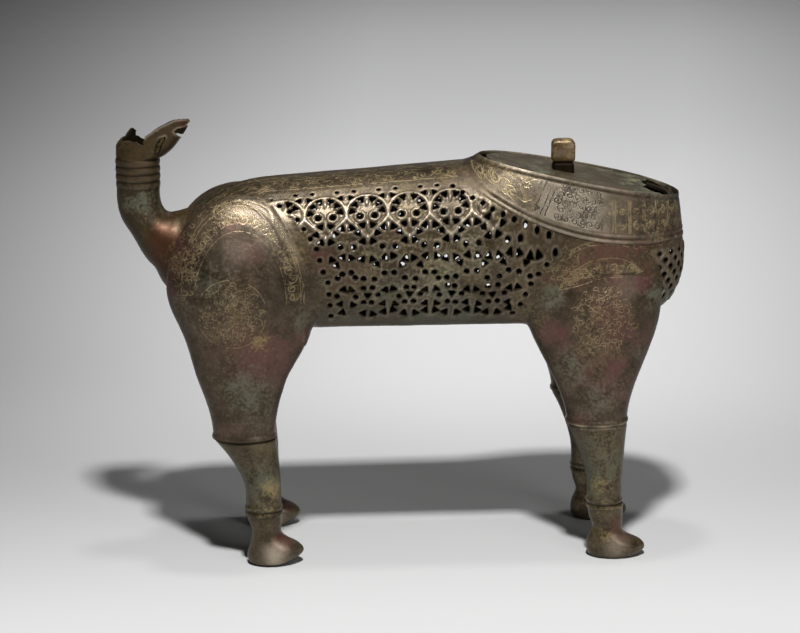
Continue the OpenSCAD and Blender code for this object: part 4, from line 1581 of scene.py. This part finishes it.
    def foot(self, finish: Material) -> None:
        """Builds both feet: lower half of the ankle ring, slim neck, heel and toe.

        Args:
            finish: its material.
        """
        turn = np.radians(-np.arange(0, 360, 3.6))
        top = self.ankle_h - 0.1
        rows = through(np.array([*self.foot_rows, (top, *self.foot_top)]), 80)
        z, a, cx, b = rows[:, 0], rows[:, 1], self.ankle_x + rows[:, 2], rows[:, 3]
        g = self.ring_proud * bell(z, top - 2.4, 1.7)
        grid = Shell.rings(cx, np.full_like(z, self.leg_y), z, a + g, b + g, turn)
        ahead = np.maximum(0, np.cos(turn))[None, :]
        low = smooth(17.0, 9.0, z)[:, None]
        grid[..., 1] = self.leg_y + (grid[..., 1] - self.leg_y) * (1 - self.toe * ahead**2 * low)
        grid[..., 2] += self.lift * ahead**3 * smooth(10.0, 1.0, z)[:, None]
        shell = Shell.sheet(grid[:, ::-1], closed=True)
        p, flatrow = shell.points, np.repeat(z, len(turn))
        shell.emboss(roughcast(p, 0.9) * smooth(0.5, 4.0, flatrow))
        shell.points[:, 2] = np.maximum(shell.points[:, 2], 0.0)
        shell.put(Layer.OCHRE, 0.8 * bell(flatrow, top - 2.4, 1.2) * np.clip(0.5 + Grain(6.0, 32).at(p), 0, 1))
        # painted highlight on the instep
        wear_and_glint = bell(p[:, 0], self.ankle_x + 8, 8) * smooth(24, 14, flatrow) * smooth(1, 4, flatrow)
        shell.put(Layer.BRIGHT, self.wear_and_glint * wear_and_glint)
        shell.put(Layer.DARK, np.maximum(0.6 * bell(flatrow, top, 0.6), 0.7 * smooth(2.0, 0.0, flatrow)))
        patinate(shell)
        shell.capped(len(z), len(turn)).both_sides(f"{self.name}_foot", Slot.RED, finish)


HIND_LEG = Leg(
    "hind", x=-130.0, length=112.0, knee_h=105.0, mid_h=224.0, dome=69.0, proud=10.0, flare=5.0,
    ankle_x=-113.0, toe=0.3, widen=9.0, lift=1.0, wear_and_glint=1.0,
    foot_rows=(
        (0.0, 13.0, 4.6, 10.0), (0.9, 15.8, 5.2, 11.6), (3.0, 18.8, 6.0, 13.4), (8.0, 21.8, 8.2, 15.0),
        (12.0, 21.8, 9.0, 15.2), (16.0, 19.4, 7.6, 14.6), (19.5, 15.6, 4.8, 13.6), (24.0, 12.4, 2.4, 12.4),
        (29.0, 11.7, 1.7, 11.8), (35.0, 13.0, 0.9, 12.4), (40.0, 14.0, 0.3, 13.0),
    ),
    foot_top=(14.2, 0.0, 13.2),
)
FORE_LEG = Leg(
    "fore", x=148.0, length=108.0, knee_h=112.0, mid_h=205.0, dome=47.0, proud=7.0, flare=0.0,
    ankle_x=158.0, toe=0.14, widen=0.0, lift=0.0, wear_and_glint=0.4, solder=1.0,
    foot_rows=(
        (0.0, 16.4, 6.4, 10.8), (0.8, 19.0, 7.8, 12.2), (2.4, 21.4, 9.0, 13.6), (6.6, 23.6, 9.8, 15.0),
        (11.5, 22.4, 8.6, 15.2), (15.6, 17.6, 4.8, 14.6), (18.6, 14.6, 2.8, 13.6), (22.0, 13.0, 2.4, 12.4),
        (26.0, 12.3, 2.6, 11.8), (33.0, 13.6, 1.6, 12.6), (40.0, 14.2, 0.7, 13.1),
    ),
    foot_top=(14.3, 0.4, 13.2),
)


@dataclass
class Tail:
    """The curved tail stem with its ribs, and the broken finial."""

    top_x: float = -206.5
    d: float = 33.4
    root_d: float = 60.0
    root_h: float = 254.0
    joint_h: float = 320.0
    rib_pitch: float = 6.0
    rib_proud: float = 0.7
    ribs: int = 4
    finial_h: float = 32.0
    wall: float = 2.6
    root_full: float = 10.0
    bend_slim: float = 7.0

    def stem(self, finish: Material) -> None:
        """Builds the stem from the rump to the joint.

        Args:
            finish: its material.
        """
        knots = np.array([
            (FORM.rump_x + 22, self.root_h - 4), (FORM.rump_x - 12, self.root_h - 4),
            (self.top_x - 2, self.root_h + 16), (self.top_x, self.joint_h - self.ribs * self.rib_pitch),
        ])
        t = np.linspace(0, 1, 70)[:, None]
        share, back = t[:, 0], 1 - t
        bend = back**3 * knots[0] + 3 * t * back**2 * knots[1] + 3 * t**2 * back * knots[2] + t**3 * knots[3]
        radius = self.d / 2 + (self.root_d - self.d) / 2 * (1 - share) ** 1.7
        z = spread([(knots[3][1], 0.45), (self.joint_h - 0.1, 1.0)])[1:]
        path = np.concatenate([bend, np.stack([np.full_like(z, self.top_x), z], 1)])
        phase = (z - knots[3][1]) / self.rib_pitch
        radius = np.concatenate([radius, self.d / 2 + self.rib_proud * np.sin(math.pi * (phase % 1)) ** 0.7 - 0.2])
        slim = self.bend_slim * bell(share, 0.5, 0.22) * smooth(1.0, 0.8, share)
        under = np.concatenate([self.root_full * smooth(0.27, 0.13, share) - slim, 0 * z])[:, None]
        along = np.gradient(path, axis=0)
        along /= np.linalg.norm(along, axis=1, keepdims=True)
        turn = np.radians(np.arange(0, 360, 3.6))
        r = radius[:, None]
        out = under / 2 + (r + under / 2) * np.cos(turn)
        grid = np.stack([path[:, :1] - along[:, 1:] * out, r * np.sin(turn), path[:, 1:] + along[:, :1] * out], -1)
        shell = Shell.sheet(grid, closed=True)
        p = shell.points
        shell.layers[BACK] = p - shell.normals() * self.wall
        high = np.repeat(path[:, 1], len(turn))
        shell.emboss(roughcast(p))
        crest, valley = np.sin(math.pi * (phase % 1)) ** 3, np.cos(math.pi * (phase % 1)) ** 8
        for layer, amount, rib in ((Layer.BRIGHT, 0.06, crest), (Layer.DARK, 0.6, valley)):
            shell.put(layer, amount * np.repeat(np.concatenate([0 * share, rib]), len(turn)))
        shell.put(Layer.RED, 0.25 * smooth(294, 300, high))
        patinate(shell)
        clear = FORM.outside(p) - 0.1
        inner = FORM.outside(shell.layers[BACK])
        shell.layers[BACK] = shell.layers[BACK] + np.maximum(0, 0.3 - inner)[:, None] * [-1.0, 0, 0]
        shell.cut({"clear": clear}).walled().piece("tail_stem_cast", Body.LION, Slot.RED, finish, "tail_stem")

    @staticmethod
    def off_outline(places: Array, outline: Array) -> Array:
        """Measures how far places lie inside an outline.

        Args:
            places: n by 2.
            outline: its corners in order.

        Returns:
            The distances, negative outside.
        """
        a, b = outline, np.roll(outline, -1, 0)
        best = np.full(len(places), 1e9)
        crossings = np.zeros(len(places), int)
        for (ax, ay), (bx, by) in zip(a, b):
            px, py = places[:, 0] - ax, places[:, 1] - ay
            ex, ey = bx - ax, by - ay
            f = np.clip((px * ex + py * ey) / (ex * ex + ey * ey), 0, 1)
            best = np.minimum(best, np.hypot(px - f * ex, py - f * ey))
            spans = (ay > places[:, 1]) != (by > places[:, 1])
            if by != ay:
                crossings += spans & (places[:, 0] < ax + (places[:, 1] - ay) * ex / ey)
        return np.where(crossings % 2 == 1, best, -best)

    def finial(self, finish: Material) -> None:
        """Builds the hollow finial, broken along its upper edge and slotted.

        Args:
            finish: its material.
        """
        spike = [(-9.6, 14.6), (-6.5, 19.8), (-4.7, 21.4), (-2.2, 19.0), (-2.7, 14.3)]
        stump = [(-9.6, 14.2), (-7.0, 14.9), (-4.7, 13.6), (-2.7, 14.0)]
        head = [(-30.0, -2.0), (-17.9, 5.5), (-15.7, 11.1), (-12.7, 13.9)]
        rest = [
            (-0.4, 14.4), (2.7, 11.8), (5.7, 11.0), (5.1, 14.4), (7.3, 18.6), (16.5, 24.9), (25.7, 28.9),
            (29.5, 30.4), (35.0, 30.7), (40.6, 30.3), (41.6, 27.6), (37.0, 24.0), (31.5, 23.6), (28.8, 21.6),
            (30.5, 18.8), (34.2, 15.8), (35.0, 11.8), (32.4, 8.8), (27.4, 6.2), (22.8, 2.6), (19.0, -2.0),
        ]
        slot = np.array([
            (12.6, 4.0), (14.2, 11.1), (18.0, 17.4), (21.8, 18.2), (22.6, 15.8), (19.5, 11.1), (18.0, 5.5),
            (15.7, 2.6),
        ])
        turn = np.radians(np.arange(0, 360, 3.0))
        t = np.linspace(0, 1, 60)
        flare = 0.41 * t**0.6
        z = self.finial_h * t
        cx, a, b = self.d * flare, self.d * (0.5 + flare), self.d * (0.5 - 0.12 * t)
        outer, inner = (Shell.rings(cx, 0 * z, z, a - g, b - g, turn)[:, ::-1] for g in (0.0, self.wall))
        shell = Shell.sheet(outer, closed=True)
        p = shell.points.copy()
        shell.layers[BACK] = inner.reshape(-1, 3)
        ragged = 0.35 * Grain(1.6, 51).at(p)
        flat, right = p[:, [0, 2]], p[:, 1] < 0
        near = np.minimum(self.off_outline(flat, np.array(head + stump + rest)), -self.off_outline(flat, slot))
        lower = [(x, z - 6.5) if z > 15 else (x, z) for x, z in rest]
        far = self.off_outline(flat, np.array(head + spike + lower))
        keep = np.where(right, near, far) + ragged * smooth(1.0, 3.0, p[:, 2])
        keep = np.where(p[:, 2] < 0.6, 3.0, keep)
        shell.emboss(roughcast(p, 0.8) * smooth(0.0, 2.0, p[:, 2]))
        shell.points[:, 2] = np.clip(shell.points[:, 2], 0, self.finial_h - 0.1)
        shell.put(Layer.BRIGHT, 0.55 * bell(keep, 0.4, 0.9) * smooth(14, 20, p[:, 2]))
        shell.put(Layer.RED, 0.2 + 0.4 * bell(p[:, 0], 38, 8))
        made = shell.cut({"keep": keep}).walled()
        # the far wall's inner face, seen over the broken edge, loses most of its painted inside darkness and is
        # painted pale ochre
        pale = bell(made.points[:, 0], 22, 9) * (made.points[:, 1] > 0)
        made.layers[Layer.DARK.value] *= 1 - 0.8 * pale
        made.put(Layer.OCHRE, 0.8 * pale)
        made.points += [self.top_x, 0.0, self.joint_h + 0.1]
        made.piece("tail_finial_cast", Body.LION, Slot.BROWN, finish, "tail_finial")


@dataclass
class Cover:
    """The loose plate in the neck mouth, and the lug on it."""

    recess: float = 0.8
    thick: float = 2.6
    play: float = 0.8
    break_u: float = 48.9
    lug_x: float = 126.7
    lug_z: float = 305.18
    lug_len: float = 18.4
    lug_w: float = 14.0
    lug_h: float = 25.0
    back_u: float = -81.0
    front_u: float = 66.0
    side_y: float = 48.0

    def plate(self, finish: Material) -> None:
        """Builds the plate with its broken front edge and crust.

        Args:
            finish: its material.
        """
        u = spread([(self.back_u, 0.7), (self.back_u + 9, 1.3), (self.front_u, 1.0)])
        y = spread([(-self.side_y, 1.4), (self.side_y, 1.0)])
        uu, yy = np.meshgrid(u, y, indexing="ij")
        along, across = uu.ravel(), yy.ravel()
        inset = (FORM.rim_half(u, -FORM.wall - self.play)[:, None] - np.abs(yy)).ravel()
        flat = np.stack([along, across, np.zeros(uu.size)], 1)
        edge = self.break_u + np.interp(yy, (-48, -30, -23, -10, 3, 15, 25, 48), (12, 11, 3, -4, 2, -3, 6, 9))
        edge = edge + (0.9 * Grain(2.6, 61).at(flat) + 0.8 * Grain(6.0, 62).at(flat)).reshape(uu.shape)
        crust = smooth(14, 40, along) * np.clip(Grain(7.0, 63).at(flat) + 0.4 * Grain(2.6, 64).at(flat), 0, 1)
        top = -self.recess - 0.25 + 0.12 * Grain(12.0, 65).at(flat) + 0.7 * crust
        shell = Shell.sheet(FORM.on_rim(uu, yy, top.reshape(uu.shape)))
        shell.layers[BACK] = FORM.on_rim(uu, yy, np.full(uu.shape, -self.recess - self.thick)).reshape(-1, 3)
        blotch = np.clip(Grain(19.0, 66).at(flat) + 0.5 * Grain(7.0, 67).at(flat), 0, 1)
        shell.put(Layer.GREEN, 0.75 * crust + 0.3 * smooth(25, 45, along) + 0.6 * blotch)
        shell.put(Layer.OCHRE, 0.7 * crust * smooth(20, 40, along))
        shell.put(Layer.OCHRE, 0.5 * bell(inset, 1.5, 2.5) * smooth(-20, -45, along))
        shell.put(Layer.RED, 0.5 * bell(along, 18, 10) * bell(across, -38, 8))
        made = shell.cut({"side": inset, "edge": (edge - uu).ravel()}).walled()
        made.piece("cover_plate", Body.COVER, Slot.GREY, finish, "neck_cover")

    def lug(self, finish: Material) -> None:
        """Builds the upright lug: a rounded block on a grooved base.

        Args:
            finish: its material.
        """
        knots = np.array([
            (-1.2, 0.47), (1.0, 0.465), (4.6, 0.455), (6.0, 0.42), (7.0, 0.42), (8.2, 0.485), (11.0, 0.5),
            (16.0, 0.5), (20.0, 0.495), (22.6, 0.46), (24.2, 0.37), (24.85, 0.22), (25.0, 0.02),
        ])
        rows = through(knots, 90)
        turn = np.radians(-np.arange(0, 360, 4.0))
        c, s = np.cos(turn), np.sin(turn)
        boxed = (np.abs(c) ** 5 + np.abs(s) ** 5) ** (-1 / 5)
        x = rows[:, 1:] * self.lug_len * boxed * c
        y = rows[:, 1:] * self.lug_w * boxed * s
        z = np.clip(rows[:, :1], -1.2, self.lug_h) + 0 * x
        base = smooth(2.0, -1.2, z)
        z = z - base * x * math.tan(math.radians(FORM.rim_tilt)) * 0.9
        shell = Shell.sheet(np.stack([x, y, z], -1), closed=True)
        p = shell.points
        shell.emboss(roughcast(p * 1.7, 0.9) * smooth(24.9, 23, p[:, 2]))
        # painted shade on the base and its groove; a speckled painted highlight on the upper block
        shell.put(Layer.DARK, np.maximum(bell(p[:, 2], 6.2, 1.6), smooth(8.0, 6.5, p[:, 2])))
        shell.put(Layer.BRIGHT, 0.25 * smooth(9, 13, p[:, 2]) * np.clip(0.5 + Grain(5.0, 71).at(p), 0, 1))
        shell.put(Layer.OCHRE, 0.7 * smooth(8, 11, p[:, 2]) * np.clip(0.7 + Grain(4.0, 72).at(p), 0, 1))
        made = shell.capped(len(rows), len(turn))
        made.points += [self.lug_x, 0.0, self.lug_z + 0.25]
        made.piece("lug_block", Body.COVER, Slot.BROWN, finish, "cover_lug")


class Signal:
    """A shader socket that adds Math nodes when it is used in an expression."""

    def __init__(self, bench: Bench, socket: bpy.types.NodeSocket) -> None:
        """Wraps a socket of the bench's material."""
        self.bench, self.socket = bench, socket

    def __add__(self, other: Signal | float) -> Signal:
        """Sum."""
        return self.bench.math("ADD", self, other)

    __radd__ = __add__

    def __sub__(self, other: Signal | float) -> Signal:
        """Difference."""
        return self.bench.math("SUBTRACT", self, other)

    def __rsub__(self, other: float) -> Signal:
        """Difference from a number."""
        return self.bench.math("SUBTRACT", other, self)

    def __mul__(self, other: Signal | float) -> Signal:
        """Product."""
        return self.bench.math("MULTIPLY", self, other)

    __rmul__ = __mul__

    def __truediv__(self, other: Signal | float) -> Signal:
        """Quotient."""
        return self.bench.math("DIVIDE", self, other)

    def __rtruediv__(self, other: float) -> Signal:
        """Quotient of a number."""
        return self.bench.math("DIVIDE", other, self)

    def clamped(self) -> Signal:
        """The value held between 0 and 1."""
        return self.bench.math("MAXIMUM", self.bench.math("MINIMUM", self, 1.0), 0.0)


class Bench:
    """Builds one material's nodes."""

    def __init__(self, name: str) -> None:
        """Starts an empty material.

        Args:
            name: the material's name.
        """
        self.material = bpy.data.materials.new(name)
        self.material.use_nodes = True
        self.tree = self.material.node_tree
        self.tree.nodes.clear()

    def node(
        self, kind: str, settings: dict | None = None, sockets: dict | None = None, out: int | str = 0
    ) -> Signal:
        """Adds a node.

        Args:
            kind: the node's type name.
            settings: properties to set first.
            sockets: values or signals by input name or number.
            out: which output to return.

        Returns:
            The chosen output.
        """
        made = self.tree.nodes.new(kind)
        for key, value in (settings or {}).items():
            setattr(made, key, value)
        for key, value in (sockets or {}).items():
            if isinstance(value, Signal):
                self.tree.links.new(value.socket, made.inputs[key])
            else:
                made.inputs[key].default_value = value
        return Signal(self, made.outputs[out]) if len(made.outputs) else Signal(self, made.inputs[0])

    def math(self, operation: str, a: Signal | float, b: Signal | float) -> Signal:
        """Adds a Math node."""
        return self.node("ShaderNodeMath", {"operation": operation}, {0: a, 1: b})

    def mix(self, share: Signal, a: Signal | tuple, b: Signal | tuple) -> Signal:
        """Mixes two colours."""
        a, b = (v if isinstance(v, Signal) else (*v, 1.0) for v in (a, b))
        return self.node("ShaderNodeMix", {"data_type": "RGBA"}, {0: share, 6: a, 7: b}, 2)

    def noise(self, where: Signal, scale: float, detail: float, rough: float = 0.55) -> Signal:
        """Adds a noise texture."""
        sockets = {"Vector": where, "Scale": scale, "Detail": detail, "Roughness": rough}
        return self.node("ShaderNodeTexNoise", {}, sockets, "Fac")

    def span(self, value: Signal, low: float, high: float) -> Signal:
        """Smooth step of a value between low and high."""
        sockets = {"Value": value, "From Min": low, "From Max": high}
        return self.node("ShaderNodeMapRange", {"interpolation_type": "SMOOTHSTEP"}, sockets)

    def layer(self, layer: Layer) -> Signal:
        """Reads a value kept at the mesh's points."""
        return self.node("ShaderNodeAttribute", {"attribute_name": layer.value}, {}, "Fac")


@dataclass(frozen=True)
class Bronze:
    """Old bronze: brown ground; red, green and ochre bloom; sooty dark and painted shade in the hollows; rubbed
    metal and painted highlights on the ridges.
    """

    name: str
    ground: Colour = (0.088, 0.061, 0.032)
    shade: Colour = (0.034, 0.024, 0.013)
    pale: Colour = (0.15, 0.115, 0.06)
    red: Colour = (0.1, 0.041, 0.031)
    green: Colour = (0.08, 0.086, 0.056)
    ochre: Colour = (0.21, 0.15, 0.06)
    gilt: Colour = (0.25, 0.19, 0.098)
    soot_and_shade: Colour = (0.008, 0.007, 0.006)
    wear_and_glint: Colour = (0.44, 0.37, 0.28)
    red_all: float = 0.0
    green_all: float = 0.0
    soot_all: float = 0.0
    roughness: float = 0.36
    metal: float = 0.5
    gloss: float = 0.08
    engraved: float = 0.55

    def material(self) -> Material:
        """Builds the material.

        Returns:
            The bronze's material.
        """
        b = Bench(self.name)
        where = b.node("ShaderNodeTexCoord", {}, {}, "Object")
        large, mid = b.noise(where, 22, 3), b.noise(where, 85, 5, 0.6)
        fine, speck = b.noise(where, 420, 5, 0.65), b.noise(where, 1300, 2)
        layers = {layer: b.layer(layer) for layer in Layer}
        blend = b.span(mid * 0.55 + fine * 0.3 + large * 0.15, 0.34, 0.66)
        colour = b.mix(blend, self.shade, self.ground)
        colour = b.mix(b.span(large * 0.5 + fine * 0.5, 0.5, 0.72), colour, self.pale)
        broad = b.noise(where, 13, 3)
        red = b.span(layers[Layer.RED] + (mid - 0.5) * 0.9 + (large - 0.5) * 0.9 + self.red_all, 0.15, 0.8)
        colour = b.mix(red * 0.85, colour, self.red)
        bloom = layers[Layer.GREEN] + (mid - 0.5) * 1.2 + (fine - 0.5) * 1.7 + (broad - 0.5) * 0.9
        green = b.span(bloom + self.green_all, 0.22, 0.82)
        colour = b.mix(green * 0.75, colour, self.green)
        ochre = b.span(layers[Layer.OCHRE] + (fine - 0.5) * 1.6 + (mid - 0.5) * 0.6, 0.4, 0.95)
        colour = b.mix(ochre * 0.75, colour, self.ochre)
        spot = b.span(speck * 0.5 + fine * 0.5, 0.61, 0.68)
        colour = b.mix(spot * 0.4, colour, self.ochre)
        # bright: rubbed metal and painted highlights, mixed toward the pale metal colour
        bright = (layers[Layer.BRIGHT] * (0.55 + 0.9 * fine)).clamped()
        colour = b.mix(bright * 0.8, colour, self.wear_and_glint)
        # the dark layer mixes toward the darkest colour: soot, and painted shade where the marks stand for shade
        dark = (layers[Layer.DARK] * (0.7 + 0.6 * mid) + self.soot_all).clamped()
        colour = b.mix(dark * 0.9, colour, self.soot_and_shade)
        wander = layers[Layer.LINE] + (b.noise(where, 260, 2) - 0.5) * 1.1
        line = b.span(b.math("ABSOLUTE", wander, 0.0), 0.5, 0.16) * b.span(layers[Layer.NEAR], 1.8, 1.2)
        line = line * b.span(mid * 0.6 + fine * 0.4, 0.38, 0.54)
        colour = b.mix(line * self.engraved, colour, b.mix(b.span(bright, 0.15, 0.5), self.gilt, self.soot_and_shade))
        rough = self.roughness + (mid - 0.5) * 0.25 + (fine - 0.5) * 0.25 + green * 0.2 + ochre * 0.12
        metal = (self.metal + bright * 0.15 - green * 0.35 - ochre * 0.2 + dark * 0.5).clamped()
        height = fine * 0.6 + speck * 0.25 + mid * 0.5 - line * 0.7
        bump = b.node("ShaderNodeBump", {}, {"Strength": 0.35, "Distance": 0.0008, "Height": height})
        shader = b.node("ShaderNodeBsdfPrincipled", {}, {
            "Base Color": colour, "Roughness": (rough + 0.3 * dark).clamped(), "Metallic": metal, "Normal": bump,
            "Coat Weight": self.gloss * (1 - dark), "Coat Roughness": 0.3, "Specular IOR Level": 0.25,
        })
        b.node("ShaderNodeOutputMaterial", {}, {"Surface": shader})
        return b.material


@dataclass(frozen=True)
class PaleFloor:
    """Matt grey with the studio light painted in: a painted pool of light round the lion, greyer beside it, and a
    painted shade band behind it.
    """

    level: float = 0.44
    far_gain: float = 0.6
    far_run: Spot = (-0.35, 1.7)
    near_gain: float = 0.04
    near_run: Spot = (0.0, -0.2)
    band_y: float = 0.18
    band_w: float = 0.2
    band_drop: float = 0.09
    pool_x: float = 0.08
    pool_slant: float = 0.13
    pool_half: float = 0.37
    pool_spread: float = 0.115
    pool_run: Spot = (-0.2, 0.6)
    darkest: float = 0.3
    palest: float = 0.95

    def material(self) -> Material:
        """Builds the material.

        Returns:
            The floor's material.
        """
        b = Bench("floor")
        where = b.node("ShaderNodeTexCoord", {}, {}, "Object")
        x, y = (b.node("ShaderNodeSeparateXYZ", {}, {0: where}, axis) for axis in ("X", "Y"))
        # painted pool of light: paler round the lion, greyer to the sides, widening further back
        off = (x - self.pool_x - self.pool_slant * y) / (self.pool_half + self.pool_spread * y)
        pool = b.math("EXPONENT", off * off * b.span(y, *self.pool_run) * -0.5, 0.0)
        band = (y - self.band_y) / self.band_w
        far, near = b.span(y, *self.far_run), b.span(y, *self.near_run)
        # painted light: paler far back and a little paler at the front
        level = self.level + self.far_gain * far + self.near_gain * near
        # painted shade: a darker band just behind the lion
        level = level - self.band_drop * b.math("EXPONENT", band * band * -1.0, 0.0)
        grey = b.math("MAXIMUM", b.math("MINIMUM", level * pool, self.palest), self.darkest)
        sockets = {"Base Color": grey, "Roughness": 0.9, "Specular IOR Level": 0.1}
        shader = b.node("ShaderNodeBsdfPrincipled", {}, sockets)
        b.node("ShaderNodeOutputMaterial", {}, {"Surface": shader})
        return b.material


@dataclass
class Studio:
    """Camera, lights and the pale floor."""

    target: Place = (-0.002, 0.0, 0.188)
    eye: Place = (-0.1343, -1.8918, 0.6852)
    lens: float = 110.7
    sensor: float = 36.0
    sight: float = 60.0
    key: Place = (0.0, -1.09, 2.22)
    key_size: float = 0.18
    key_power: float = 84.0
    fill: Place = (1.7, -2.2, 1.2)
    fill_size: float = 1.2
    fill_power: float = 16.0
    room: float = 0.042
    room_colour: Colour = (0.98, 0.99, 1.0)
    sweep: Place = (0.5, 2.7, 1.5)
    sweep_power: float = 5.2
    top: Place = (0.0, 0.05, 2.4)
    top_power: float = 10.5
    floor_from: Spot = (-9.0, -4.0)
    floor_to: Spot = (9.0, 14.0)

    def camera(self) -> None:
        """Sets the camera at the photograph's viewing angle."""
        data = bpy.data.cameras.new("camera")
        data.lens, data.sensor_width, data.clip_end = self.lens, self.sensor, self.sight
        made = bpy.data.objects.new("camera", data)
        made.location = self.eye
        made.rotation_euler = (Vector(self.target) - Vector(self.eye)).to_track_quat("-Z", "Y").to_euler()
        bpy.context.scene.collection.objects.link(made)
        bpy.context.scene.camera = made

    def lamp(self, name: str, place: Vector, size: float, power: float, aim: Vector | None = None) -> None:
        """Adds a square soft light.

        Args:
            name: its name.
            place: where it stands.
            size: its side in metres.
            power: its power in watts.
            aim: the place that it faces, or the lion.
        """
        data = bpy.data.lights.new(name, "AREA")
        data.shape, data.size, data.energy = "SQUARE", size, power
        made = bpy.data.objects.new(name, data)
        made.location = place
        made.rotation_euler = ((aim or Vector(self.target)) - place).to_track_quat("-Z", "Y").to_euler()
        bpy.context.scene.collection.objects.link(made)

    def lights(self) -> None:
        """Sets the key light high in front, one overhead, soft fills beside the camera and over the far floor."""
        self.lamp("key", Vector(self.key), self.key_size, self.key_power)
        self.lamp("fill", Vector(self.fill), self.fill_size, self.fill_power)
        self.lamp("top", Vector(self.top), self.key_size, self.top_power)
        below = Vector((*self.sweep[:2], 0.0))
        self.lamp("sweep", Vector(self.sweep), self.fill_size, self.sweep_power, below)
        world = bpy.data.worlds.new("room")
        world.use_nodes = True
        back = world.node_tree.nodes["Background"]
        back.inputs["Color"].default_value = (*self.room_colour, 1.0)
        back.inputs["Strength"].default_value = self.room
        bpy.context.scene.world = world

    def floor(self) -> None:
        """Lays the floor."""
        mesh = bpy.data.meshes.new("floor")
        (left, near), (right, far) = self.floor_from, self.floor_to
        corners = [(left, near, 0), (right, near, 0), (right, far, 0), (left, far, 0)]
        mesh.from_pydata(corners, [], [(0, 1, 2, 3)])
        mesh.materials.append(PaleFloor().material())
        made = bpy.data.objects.new("floor", mesh)
        bpy.context.scene.collection.objects.link(made)


def main() -> None:
    """Builds the lion's pieces in order, then the studio."""
    logging.basicConfig(level=logging.INFO, format="%(name)s: %(message)s")
    bpy.context.scene.view_settings.view_transform = "Standard"
    body = Bronze("trunk_bronze").material()
    collar = Bronze(
        "collar_bronze", ground=(0.1, 0.074, 0.042), pale=(0.18, 0.142, 0.085), engraved=0.8,
    ).material()
    thigh = Bronze(
        "thigh_bronze", ground=(0.088, 0.06, 0.039), red=(0.1, 0.043, 0.036), red_all=0.06,
    ).material()
    rust = Bronze(
        "tail_bronze", ground=(0.06, 0.041, 0.017), pale=(0.1, 0.076, 0.032), red=(0.066, 0.024, 0.01),
        red_all=0.06, roughness=0.42, metal=0.55, gloss=0.03,
    ).material()
    leg = Bronze("leg_bronze", ground=(0.1, 0.075, 0.04), green_all=0.05).material()
    plate = Bronze(
        "plate_bronze", ground=(0.09, 0.072, 0.042), pale=(0.15, 0.128, 0.08), green_all=0.1, roughness=0.48,
    ).material()
    lug = Bronze(
        "lug_bronze", ground=(0.11, 0.067, 0.027), pale=(0.17, 0.11, 0.048), shade=(0.06, 0.035, 0.015),
    ).material()
    soot_and_shade = Bronze("sooted_bronze", soot_all=0.35, roughness=0.6).material()
    legs = (HIND_LEG, FORE_LEG)
    trunk = Trunk()
    trunk.shell(body, legs)
    trunk.collar(collar)
    trunk.belly_plate(body)
    for pair in legs:
        pair.thigh(thigh)
        pair.shank(leg)
        pair.foot(leg)
    tail = Tail()
    tail.stem(rust)
    tail.finial(rust)
    cover = Cover()
    cover.plate(plate)
    cover.lug(lug)
    for node in ("lug_rivet", "fire_bowl"):
        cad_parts[node].data.materials.clear()
        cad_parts[node].data.materials.append(soot_and_shade)
    studio = Studio()
    studio.camera()
    studio.lights()
    studio.floor()


if __name__ == "__main__":
    main()
